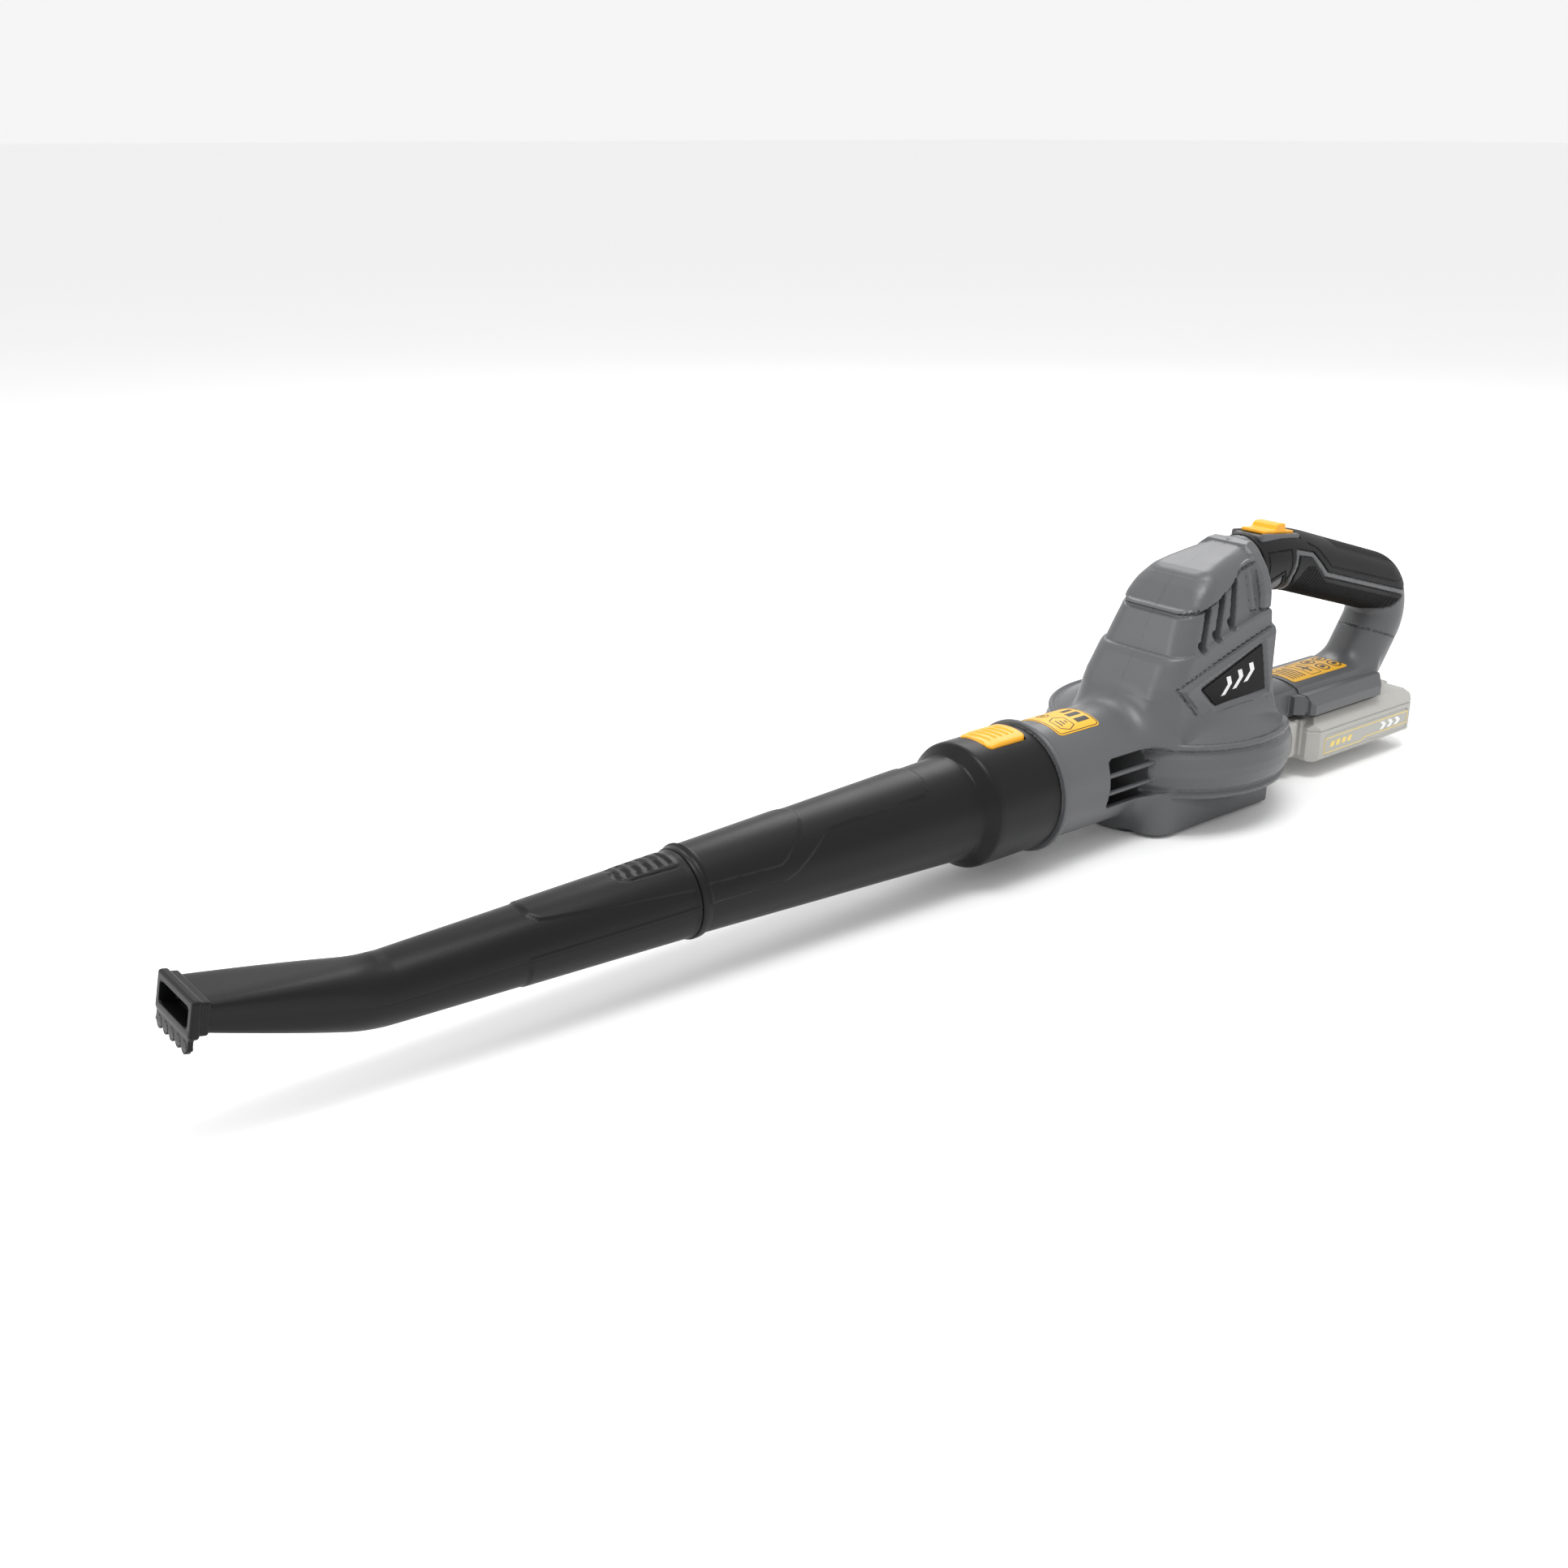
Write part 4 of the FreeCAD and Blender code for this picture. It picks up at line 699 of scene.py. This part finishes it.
def make_rear_tube():
    outer = [(-0.4, 38.4), (-0.5, 39.4), (-1.3, 40.0), (-50, 40.0), (-53.2, 39.8), (-54.8, 39.1),
             (-60.4, 33.2), (-61.4, 32.7), (-63, 32.62), (-257.5, 24.66), (-258.2, 25.2), (-258.8, 25.9),
             (-260.5, 26.1), (-262.8, 26.1), (-263.7, 25.8), (-264, 25.2)]
    inner = [(-264, 21.8), (-299.4, 20.6), (-300, 20.0), (-300, 19.0), (-264, 20.1), (-51, 30.8),
             (-48, 37.9), (-0.6, 38.0)]
    outside = spread(outer, 1.05)

    def panels(x, angle):
        fade = smooth_step(-63 - x, 2.0) * smooth_step(x + 259.5, 1.5)
        return PANEL_STEP * fade * (raised(angle, x, PANEL_LOWER) + raised(angle, x, PANEL_UPPER))

    points, faces = wrap(outside + spread(inner, 6.0), 264, len(outside), panels)
    item = new_mesh("rear_tube_shell", points, faces)
    window = rounded_block("window_cutter", (-40.6, -14.6, 25.0), (-7.4, 14.6, 50.0), 3.0)
    cut_with(item, window)
    item.data.set_sharp_from_angle(angle=math.radians(40))
    finish_piece(item, "rear_tube", "tube_black", BLACK, "rear_tube")


def rounded_block(name, low, high, corner):
    """A box whose upright edges are round, for cutting."""
    outline = round_rect(low[0], low[1], high[0], high[1], corner, 6)
    count = len(outline)
    points = [(u, v, low[2]) for u, v in outline] + [(u, v, high[2]) for u, v in outline]
    faces = [list(range(count))[::-1], [count + n for n in range(count)]]
    faces += [[n, (n + 1) % count, count + (n + 1) % count, count + n] for n in range(count)]
    return new_mesh(name, points, faces)


def cut_with(item, cutter):
    """Cut a hole, then drop the cutter."""
    change = item.modifiers.new("cut", "BOOLEAN")
    change.operation = "DIFFERENCE"
    change.solver = "EXACT"
    change.object = cutter
    settle(item)
    bpy.data.objects.remove(cutter)


def settle(item):
    """Apply every modifier on a piece."""
    graph = bpy.context.evaluated_depsgraph_get()
    mesh = bpy.data.meshes.new_from_object(item.evaluated_get(graph))
    item.modifiers.clear()
    old = item.data
    item.data = mesh
    bpy.data.meshes.remove(old)


def make_button():
    def form(x, y, z):
        out = np.hypot(y, z)
        edge = plan(x + 24.0, y, -16.2, 16.2, 14.0, 4.0)
        top = 41.9 - 0.9 * np.clip((-30 - x) / 9, 0, 1)
        ribs = np.abs(((x + y * 0.12 + 35.5) / 5.2 % 1.0) - 0.5) * 2
        zone = np.clip((8.5 - np.abs(y)) / 1.2, 0, 1) * np.clip((-13 - x) / 1.2, 0, 1)
        wave = np.clip((ribs - 0.45) * 4, 0, 1) * zone
        body = smooth_max(edge, out - top + 0.75 * wave, 1.2)
        return np.maximum.reduce([body, 38.4 - out, 20 - z])

    item = carve("tube_button_cap", form, (-44, -17, 32), (-4, 17, 45), 0.4)
    finish_piece(item, "tube_button", "signal_yellow", YELLOW, "tube_release_button")


LEAN = math.radians(12.3)
TIP = (-538.0, 111.0 * math.tan(LEAN))
NOZZLE_REAR = -264.4
BEND_AT = -436.9
BEND_LENGTH = 26.0
TIP_RUN = 102.0
TIP_ROWS = 112
BEND_RAD = 18.78
NOZZLE_PANEL = [(-262, 63), (-266.8, 63), (-314, 53), (-352, 40), (-357, 37), (-361.5, 24), (-362, 4)]
PAD = [(-269, 0), (-269, 24), (-271, 28), (-300, 25), (-304.5, 20), (-306.5, 0)]
PAD_RAD = 23.5
SIDE_RAD = 22.0


def nozzle_sections():
    """Rows along the nozzle: centre x and z, lean, half width, half height, squareness."""
    rows = []
    for x in np.arange(NOZZLE_REAR, -436.0, -1.25):
        radius = 24.2 - 4.9 * (NOZZLE_REAR - x) / 156.0
        rows.append((x, 0.0, 0.0, radius, radius, 2.0))
    x, z = BEND_AT, 0.0
    step = TIP_RUN / (TIP_ROWS - 1)
    for share in np.linspace(0, 1, TIP_ROWS):
        bend = min(1.0, share * TIP_RUN / BEND_LENGTH)
        lean = LEAN * bend * bend * (3 - 2 * bend)
        flat = max(0.0, (share - 0.06) / 0.94)
        height = BEND_RAD + (7.3 - BEND_RAD) * flat
        rows.append((x, z, lean, BEND_RAD + 0.72 * flat, height, 2 + 4.2 * flat ** 1.2))
        x -= step * math.cos(lean)
        z += step * math.sin(lean)
    end_x, end_z = rows[-1][:2]
    placed = []
    for x, z, *shape in rows:
        share = min(1.0, max(0.0, (BEND_AT - x) / (BEND_AT - end_x)))
        placed.append((x + (TIP[0] - end_x) * share, z + (TIP[1] - end_z) * share, *shape))
    return placed


def nozzle_relief(x, turn):
    """How far the nozzle's skin stands out: panels, mould seam, thumb pad and rear rim."""
    behind = smooth_step(-266.5 - x, 1.0)
    panel = raised(turn, x, NOZZLE_PANEL, 1.1, SIDE_RAD) * behind
    around = np.abs(turn) * SIDE_RAD
    under = smooth_step(x + 367.5, 1.0) * smooth_step(around - 33.2, 1.0) * behind
    seam = np.exp(-((around - 34.56) / 0.5) ** 2)
    pad = raised(turn, x, PAD, 0.9, PAD_RAD)
    pad_edge = np.exp(-(polygon(x, turn * PAD_RAD, mirrored(PAD, PAD_RAD)) / 0.55) ** 2)
    ribs = np.abs(((x + 305.0 + turn * 4.0) / 6.4 % 1.0) - 0.5) * 2
    slots = smooth_step(ribs - 0.62, 0.22) * smooth_step(8.2 - np.abs(turn) * PAD_RAD, 1.0)
    slots = slots * smooth_step(x + 304.6, 1.0) * smooth_step(-272.4 - x, 1.0)
    lift = 0.75 * panel + 0.6 * under - 0.25 * seam + 0.9 * smooth_step(x + 266.6, 0.8)
    return lift + 0.4 * pad - 0.5 * pad_edge - 0.9 * slots * pad


def nozzle_tip(u, y, w):
    """The lip round the mouth with its toothed scraper, in the mouth's own tilted frame."""
    lip = block(u, y, w, (-0.4, -21.6, -9.3), (4.6, 21.6, 9.3), 1.6)
    mouth = block(u, y, w, (-9, -17.4, -5.3), (9, 17.4, 5.3), 2.0)
    taper = block(u, y, w, (3.0, -20.4, -8.2), (9.0, 20.4, 8.2), 1.4)
    plate = block(u, y, w, (0.0, -19.8, -15.0), (2.6, 19.8, -6.0), 0.6)
    teeth = np.hypot(np.abs(((y / 7.6 + 0.5) % 1.0) - 0.5) * 7.6, w + 14.6) - 3.1
    teeth = np.maximum.reduce([teeth, np.abs(y) - 19.6, -u, u - 2.6])
    body = smooth_min(smooth_min(lip, plate, 1.4), teeth, 0.8)
    return np.maximum(smooth_min(body, taper, 0.6), -mouth)


def make_nozzle():
    columns = 240
    angle = np.linspace(-math.pi, math.pi, columns, endpoint=False)
    sections = nozzle_sections()
    grids = []
    for wall, rows in ((0.0, sections), (2.0, sections[::-4])):
        table = np.array(rows)[:, :, None]
        x, z, lean, width, height, square = [np.repeat(table[:, n], columns, 1) for n in range(6)]
        turn = np.repeat(angle[None], len(rows), 0)
        lift = nozzle_relief(x, turn) if wall == 0.0 else -wall
        power = 2 / square
        across = np.sign(np.sin(turn)) * np.abs(np.sin(turn)) ** power * (width + lift)
        up = np.sign(np.cos(turn)) * np.abs(np.cos(turn)) ** power * (height + lift)
        grids.append(np.stack([x + up * np.sin(lean), -across, z + up * np.cos(lean)], -1))
    points = np.concatenate(grids)
    item = new_mesh("nozzle_shell", points.reshape(-1, 3), grid_faces(len(points), columns, True))
    item.data.set_sharp_from_angle(angle=math.radians(50))
    finish_piece(item, "nozzle", "tube_black", BLACK, "nozzle_tube")
    item = carve_tilted("nozzle_lip", nozzle_tip, (-3, -24, -20), (18, 24, 12), 0.5, TIP, LEAN)
    finish_piece(item, "nozzle", "tube_black", BLACK)


# ---- battery, switch, badges and labels


PACK_HALF = 38.0
PACK_FRONT = 264.5
PACK_REAR = 392.0
PACK_LOW = -35.0
PACK_HIGH = -3.5
PACK_FACE = 38.42


def battery(x, y, z):
    side = np.abs(y)
    flank, front, rear = side - PACK_HALF, PACK_FRONT - x, x - PACK_REAR
    under, top = PACK_LOW - z, z - PACK_HIGH
    main = np.maximum.reduce([flank, front, rear, under, top])
    for a, b, width in ((flank, front, 7.0), (flank, rear, 8.0), (flank, top, 7.5), (front, top, 7.0),
                        (rear, top, 8.0), (flank, under, 2.0), (rear, under, 3.0), (front, under, 2.0)):
        main = np.maximum(main, (a + b + width) * HALF_ROOT)
    nose = block(x, y, z, (247.2, -26.8, -32.0), (270.0, 26.8, -4.8), 2.5)
    notch = block(x, side, z, (258.5, 23.5, -40), (263.0, 40, 0), 1.5)
    body = smooth_min(main - 0.3, smooth_max(nose, -notch, 1.0), 1.5)
    side_panel = plan(x - 329.5, z + 24.3, -51.5, 51.5, 7.6, 3.0)
    body = groove(body, np.where(side > 34, side_panel, FAR), 0.45, 0.6)
    body = groove(body, np.where((side > 30) | (x > 380), z + 12.5, FAR), 0.35, 0.6)
    head = np.minimum(block(x, y, z, (273, -17.6, 3.6), (350, 17.6, 14.1), 0.8),
                      block(x, y, z, (273, -13.8, -6), (350, 13.8, 6), 0.5))
    for row in (-12, -4, 4, 12):
        head = np.maximum(head, -block(x, y, z, (260, row - 1.4, 4.4), (287, row + 1.4, 12.8)))
    pocket = block(x, y, z, (382.6, -12.6, -18.2), (400, 12.6, 2))
    return np.maximum(np.minimum(body, head), -pocket)


def repeated(shape, count, pitch, rise=0.0):
    """Copies of a printed shape in a row."""
    return [[(u + pitch * n, v + rise * n) for u, v in shape] for n in range(count)]


def on_side(y):
    """Lays a print on an upright face."""
    return lambda u, v: (u, y, v)


def make_battery():
    item = carve("battery_shell", battery, (244, -41, -38), (396, 41, 17), 0.95)
    finish_piece(item, "battery", "battery_gray", PALE, "battery_case_top", "battery_case_bottom")
    line = ((277.5, -30.2), (323.0, -30.2), (327.5, -28.0), (380.8, -28.0), (380.8, -19.0), (277.5, -19.0))
    bars = repeated([(284, -26.5), (288.5, -26.5), (290, -22.3), (285.5, -22.3)], 4, 7.0)
    chevrons = repeated([(346, -26.6), (350.5, -26.6), (354, -23.6), (350.5, -20.6), (346, -20.6),
                         (349.5, -23.6)], 3, 9.0)
    for sign in (-1, 1):
        place = on_side(sign * PACK_FACE)
        prints = (("line", ribbon(line, 0.35), TRIM), ("bars", bars, TRIM), ("mark", chevrons, PRINT))
        for kind, shapes, material in prints:
            decal(f"battery_{kind}_{sign + 1}", shapes, place, sign, material, "battery", "battery_gray")


PRINT_THICK = 0.12


def decal(name, shapes, place, sign, material, body, slot):
    """Thin printed shapes: each polygon is laid on the surface given by place(u, v)."""
    points, faces = [], []
    for shape in shapes:
        start = len(points)
        points += [place(u, v) for u, v in shape]
        face = list(range(start, len(points)))
        faces.append(face if sign < 0 else face[::-1])
    item = new_mesh(name, points, faces)
    thick = item.modifiers.new("thick", "SOLIDIFY")
    thick.thickness = PRINT_THICK * MM
    thick.offset = 0.0
    settle(item)
    item.data.shade_flat()
    return finish_piece(item, body, slot, material)


def ribbon(corners, half):
    """The shapes of a closed printed line of even width."""
    count = len(corners)
    rings = ([], [])
    for n in range(count):
        before, here, after = [np.array(corners[(n + k) % count], float) for k in (-1, 0, 1)]
        first = (here - before) / np.linalg.norm(here - before)
        second = (after - here) / np.linalg.norm(after - here)
        normal = np.array((-first[1] - second[1], first[0] + second[0]))
        normal /= np.linalg.norm(normal)
        reach = half / max(0.3, float(normal @ np.array((-first[1], first[0]))))
        rings[0].append(tuple(here - normal * reach))
        rings[1].append(tuple(here + normal * reach))
    shapes = []
    for n in range(count):
        after = (n + 1) % count
        shapes.append([rings[0][n], rings[0][after], rings[1][after], rings[1][n]])
    return shapes


def round_rect(u0, v0, u1, v1, corner, steps=5):
    """The outline of a rectangle with round corners."""
    points = []
    for cu, cv, start in ((u1 - corner, v1 - corner, 0), (u0 + corner, v1 - corner, 90),
                          (u0 + corner, v0 + corner, 180), (u1 - corner, v0 + corner, 270)):
        for n in range(steps + 1):
            turn = math.radians(start + 90 * n / steps)
            points.append((cu + corner * math.cos(turn), cv + corner * math.sin(turn)))
    return points


def ring_shape(u, v, outer, inner, count=28):
    """A printed ring as quads."""
    quads = []
    for n in range(count):
        a, b = [2 * math.pi * (n + k) / count for k in (0, 1)]
        corners = ((outer, a), (outer, b), (inner, b), (inner, a))
        quads.append([(u + radius * math.cos(turn), v + radius * math.sin(turn)) for radius, turn in corners])
    return quads


def label_sheet(name, low, high, corner, radius, centre_z, node):
    """A sticker on a round crown, u along X and v round it."""
    def sheet(x, y, z):
        out = np.hypot(y, z - centre_z)
        around = np.arctan2(y, z - centre_z) * radius
        edge = plan(x, around, low[0], high[0], high[1], corner)
        return np.maximum.reduce([edge, out - radius - 0.32, radius - 0.5 - out])
    foot = centre_z + math.cos(high[1] / radius) * radius - 3
    top = centre_z + radius + 1
    item = carve(name, sheet, (low[0] - 2, low[1] - 2, foot), (high[0] + 2, high[1] + 2, top), 0.55)
    return finish_piece(item, "body", "label_yellow", LABEL, node)


def on_crown(radius, centre_z, lift=0.36):
    """Lays a print on a round crown."""
    def place(u, v):
        turn = v / radius
        return (u, (radius + lift) * math.sin(turn), centre_z + (radius + lift) * math.cos(turn))
    return place


def finely(shapes, step=1.4):
    """Extra points along each edge so that a print follows a curve, cut to strips across v."""
    pieces = []
    for shape in shapes:
        low = min(v for _, v in shape)
        high = max(v for _, v in shape)
        count = max(1, int(math.ceil((high - low) / step)))
        for n in range(count):
            strip = clip_band(shape, low + (high - low) * n / count, low + (high - low) * (n + 1) / count)
            if len(strip) > 2:
                pieces.append(strip)
    return pieces


def clip_band(shape, low, high):
    """The part of a shape whose v lies between low and high."""
    def clip(points, keep, cross):
        kept = []
        for here, after in zip(points, points[1:] + points[:1]):
            if keep(here):
                kept.append(here)
            if keep(here) != keep(after):
                share = (cross - here[1]) / (after[1] - here[1])
                kept.append((here[0] + (after[0] - here[0]) * share, cross))
        return kept
    shape = clip(list(shape), lambda p: p[1] >= low, low)
    return clip(shape, lambda p: p[1] <= high, high) if len(shape) > 2 else []


def outline_quads(points, half):
    """Quads along a closed outline."""
    quads = []
    for (u0, v0), (u1, v1) in zip(points, points[1:] + points[:1]):
        length = math.hypot(u1 - u0, v1 - v0) or 1
        nu, nv = -(v1 - v0) / length * half, (u1 - u0) / length * half
        quads.append([(u0 + nu, v0 + nv), (u0 - nu, v0 - nv), (u1 - nu, v1 - nv), (u1 + nu, v1 + nv)])
    return quads


def upright_box(u0, v0, u1, v1):
    return [(u0, v0), (u1, v0), (u1, v1), (u0, v1)]


def make_outlet_label():
    label_sheet("outlet_sticker", (18, -19), (56, 19), 3.5, OUTLET_RAD, 0.0, "outlet_label")
    bubble = [(36.5, -13), (30, -16), (24, -13), (24, -3), (30, 0), (36.5, -3)]
    prints = outline_quads(round_rect(19.2, -17.8, 54.8, 17.8, 2.8), 0.28)
    prints += [upright_box(41, -12, 52, -7.5), upright_box(41, -4.5, 52, 0), upright_box(43.5, 3, 52, 6.5)]
    prints += outline_quads(bubble, 0.3)
    prints += [upright_box(27 + 3 * n, -11.5 + n, 28.1 + 3 * n, -4.5 - n) for n in range(3)]
    prints += ring_shape(30, 8.5, 4.2, 3.4) + [upright_box(28, 7.6, 32, 9.4)]
    decal("outlet_print", finely(prints), on_crown(OUTLET_RAD, 0.0), 1, INK, "body", "label_yellow")


def make_receiver_label():
    label_sheet("receiver_sticker", (267, -14.5), (333, 14.5), 3.0, CROWN_RAD, CROWN_CENTRE, "info_label")
    prints = []
    for u, v in ((326, -6.5), (326, 6.5), (312, -6.5), (312, 6.5)):
        prints += ring_shape(u, v, 5.4, 4.3) + [round_rect(u - 2.4, v - 1.6, u + 2.4, v + 1.6, 0.8)]
    prints += outline_quads(round_rect(291, -12, 303, 12, 1.0), 0.22)
    prints += [upright_box(296, -8, 298, 6), upright_box(293.5, -3, 300.5, -1.2)]
    for n in range(5):
        start = 271 + 3.4 * n
        prints.append(upright_box(start, -11, start + 1.1, 10 - 3 * (n % 2)))
    place = on_crown(CROWN_RAD, CROWN_CENTRE)
    decal("receiver_print", finely(prints), place, 1, INK, "body", "label_yellow")


def make_badges():
    chevron = [(147, 40.5), (151.2, 40.7), (157.5, 47.7), (155.2, 53.0), (151.0, 52.8), (153.3, 47.5)]
    for side, sign in (("left", -1), ("right", 1)):
        middle = sign * 40.55

        def plate(x, y, z):
            return smooth_max(polygon(x, z, BADGE_SHAPE) + 0.1, np.abs(y - middle) - 0.62, 0.5)

        item = carve(f"badge_plate_{side}", plate, (124, middle - 2, 31), (198, middle + 2, 73), 0.5)
        finish_piece(item, "body", "badge_black", BADGE, f"badge_{side}")
        marks = repeated(chevron, 3, 11.5, 2.6)
        decal(f"badge_mark_{side}", marks, on_side(sign * 41.2), sign, PRINT, "body", "badge_black")


def make_switch():
    ramp = [(-6.2, 1.5), (7.6, 1.5), (5.6, 7.2), (3.6, 7.6), (-2.2, 7.0), (-3.8, 5.8)]

    def form(u, y, w):
        plate = block(u, y, w, (-16.0, -10.2, 0.0), (16.0, 10.2, 2.6), 0.9)
        ribs = np.abs((u + 1.2) / 2.0 % 1.0 - 0.5) * 2
        tab = smooth_max(polygon(u, w, ramp), np.abs(y) - 10.0, 1.0)
        tab = tab + 0.35 * np.clip(ribs * 3 - 1.8, 0, 1) * np.clip((w - 6.2) * 2, 0, 1)
        stem = block(u, y, w, (-5, -2, -12.4), (5, 2, 1), 0.3)
        return np.minimum(smooth_min(plate, tab, 1.4), stem)

    item = carve_tilted("slide_switch_cap", form, (-19, -13, -15), (19, 13, 10), 0.4, SWITCH_AT, SWITCH_TILT)
    finish_piece(item, "switch", "signal_yellow", YELLOW, "slide_switch")


def make_latch_coil():
    """The latch's coil spring."""
    turns, steps, sides, wire, radius = 5.5, 220, 10, 0.38, 2.6
    low, high = -17.8 + wire, -11.2 - wire
    along = np.linspace(0, 1, steps)
    turn = along * turns * 2 * math.pi
    out = np.stack([np.cos(turn), np.sin(turn), 0 * turn], -1)
    centre = out * radius + np.stack([0 * turn + 387, 0 * turn, low + along * (high - low)], -1)
    around = np.linspace(0, 2 * math.pi, sides, endpoint=False)[None, :, None]
    ring = out[:, None] * np.cos(around) + np.array((0, 0, 1.0)) * np.sin(around)
    points = centre[:, None] + ring * wire
    faces = grid_faces(steps, sides, False).tolist()
    faces += [list(range(sides)), [(steps - 1) * sides + n for n in range(sides)][::-1]]
    item = new_mesh("latch_coil", points.reshape(-1, 3), faces)
    finish_piece(item, "battery", "screw_steel", STEEL, "latch_spring")
    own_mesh(item)


def make_half(name, field, low, high, step, reach, side):
    """One side of a form, meshed a little past the joint and cut there."""
    sign = -1 if side == "left" else 1
    near = (low[0], low[1] if sign < 0 else -reach, low[2])
    far = (high[0], reach if sign < 0 else high[1], high[2])
    return carve_half(f"{name}_{side}", field, near, far, step, sign)


def make_housing():
    shell_step = 1.32
    grip_step = 0.68
    for side in ("left", "right"):
        item = make_half("housing_shell", seamed(housing, 0.4), (-50, -78, -51), (406, 98, 138),
                         shell_step, 1.5 * shell_step, side)
        finish_piece(item, "body", "housing_gray", GRAY, f"housing_{side}")
        item = make_half("grip_cover", seamed(grip, 0.3), (204, -24, 44), (412, 24, 142),
                         grip_step, 1.0, side)
        finish_piece(item, "body", "grip_rubber", RUBBER, f"grip_{side}")


# ---- stage


FLOOR_Z = -0.0482
FLOOR_REACH = 60.0
# Each lamp: name, place, aim, width, height, watts.
LAMPS = (
    ("key", (-0.2, -0.3, 1.9), (0.0, 0.0, 0.05), 1.0, 0.7, 20.0),
    ("side", (-1.6, 0.8, 0.9), (-0.1, 0.0, 0.05), 0.7, 0.9, 9.0),
    ("back", (1.1, 1.0, 1.3), (0.15, 0.0, 0.08), 0.9, 0.9, 10.0),
)


def make_floor():
    mesh = bpy.data.meshes.new("floor")
    corners = [(u * FLOOR_REACH, v * FLOOR_REACH, FLOOR_Z) for u, v in ((-1, -1), (1, -1), (1, 1), (-1, 1))]
    mesh.from_pydata(corners, [], [(0, 1, 2, 3)])
    floor = add_object("floor", mesh)
    white = plastic("floor_white", (0.95, 0.95, 0.95), 0.8, 0.02, 60.0, 0.003, 0.0, 0.1)
    floor.data.materials.append(white)


def make_lights():
    world = bpy.data.worlds.new("studio")
    world.use_nodes = True
    back = world.node_tree.nodes["Background"]
    back.inputs["Color"].default_value = (1.0, 1.0, 1.0, 1)
    back.inputs["Strength"].default_value = 0.92
    bpy.context.scene.world = world
    for name, at, aim, wide, tall, watts in LAMPS:
        data = bpy.data.lights.new(name, "AREA")
        data.shape = "RECTANGLE"
        data.size, data.size_y = wide, tall
        data.energy = watts
        lamp = add_object(name, data)
        lamp.location = at
        lamp.rotation_euler = (Vector(aim) - Vector(at)).to_track_quat("-Z", "Y").to_euler()


def make_camera():
    data = bpy.data.cameras.new("camera")
    data.lens = 39.37
    data.sensor_width = 36.0
    camera = add_object("camera", data)
    camera.location = (-0.7501, -0.7024, 0.3897)
    camera.rotation_euler = (math.radians(69.1), 0.0, math.radians(-38.63))
    bpy.context.scene.camera = camera
    bpy.context.scene.view_settings.view_transform = "Standard"


finish_cad_nodes()
make_floor()
make_lights()
make_camera()
make_rear_tube()
make_button()
make_nozzle()
make_housing()
make_battery()
make_latch_coil()
make_switch()
make_badges()
make_outlet_label()
make_receiver_label()
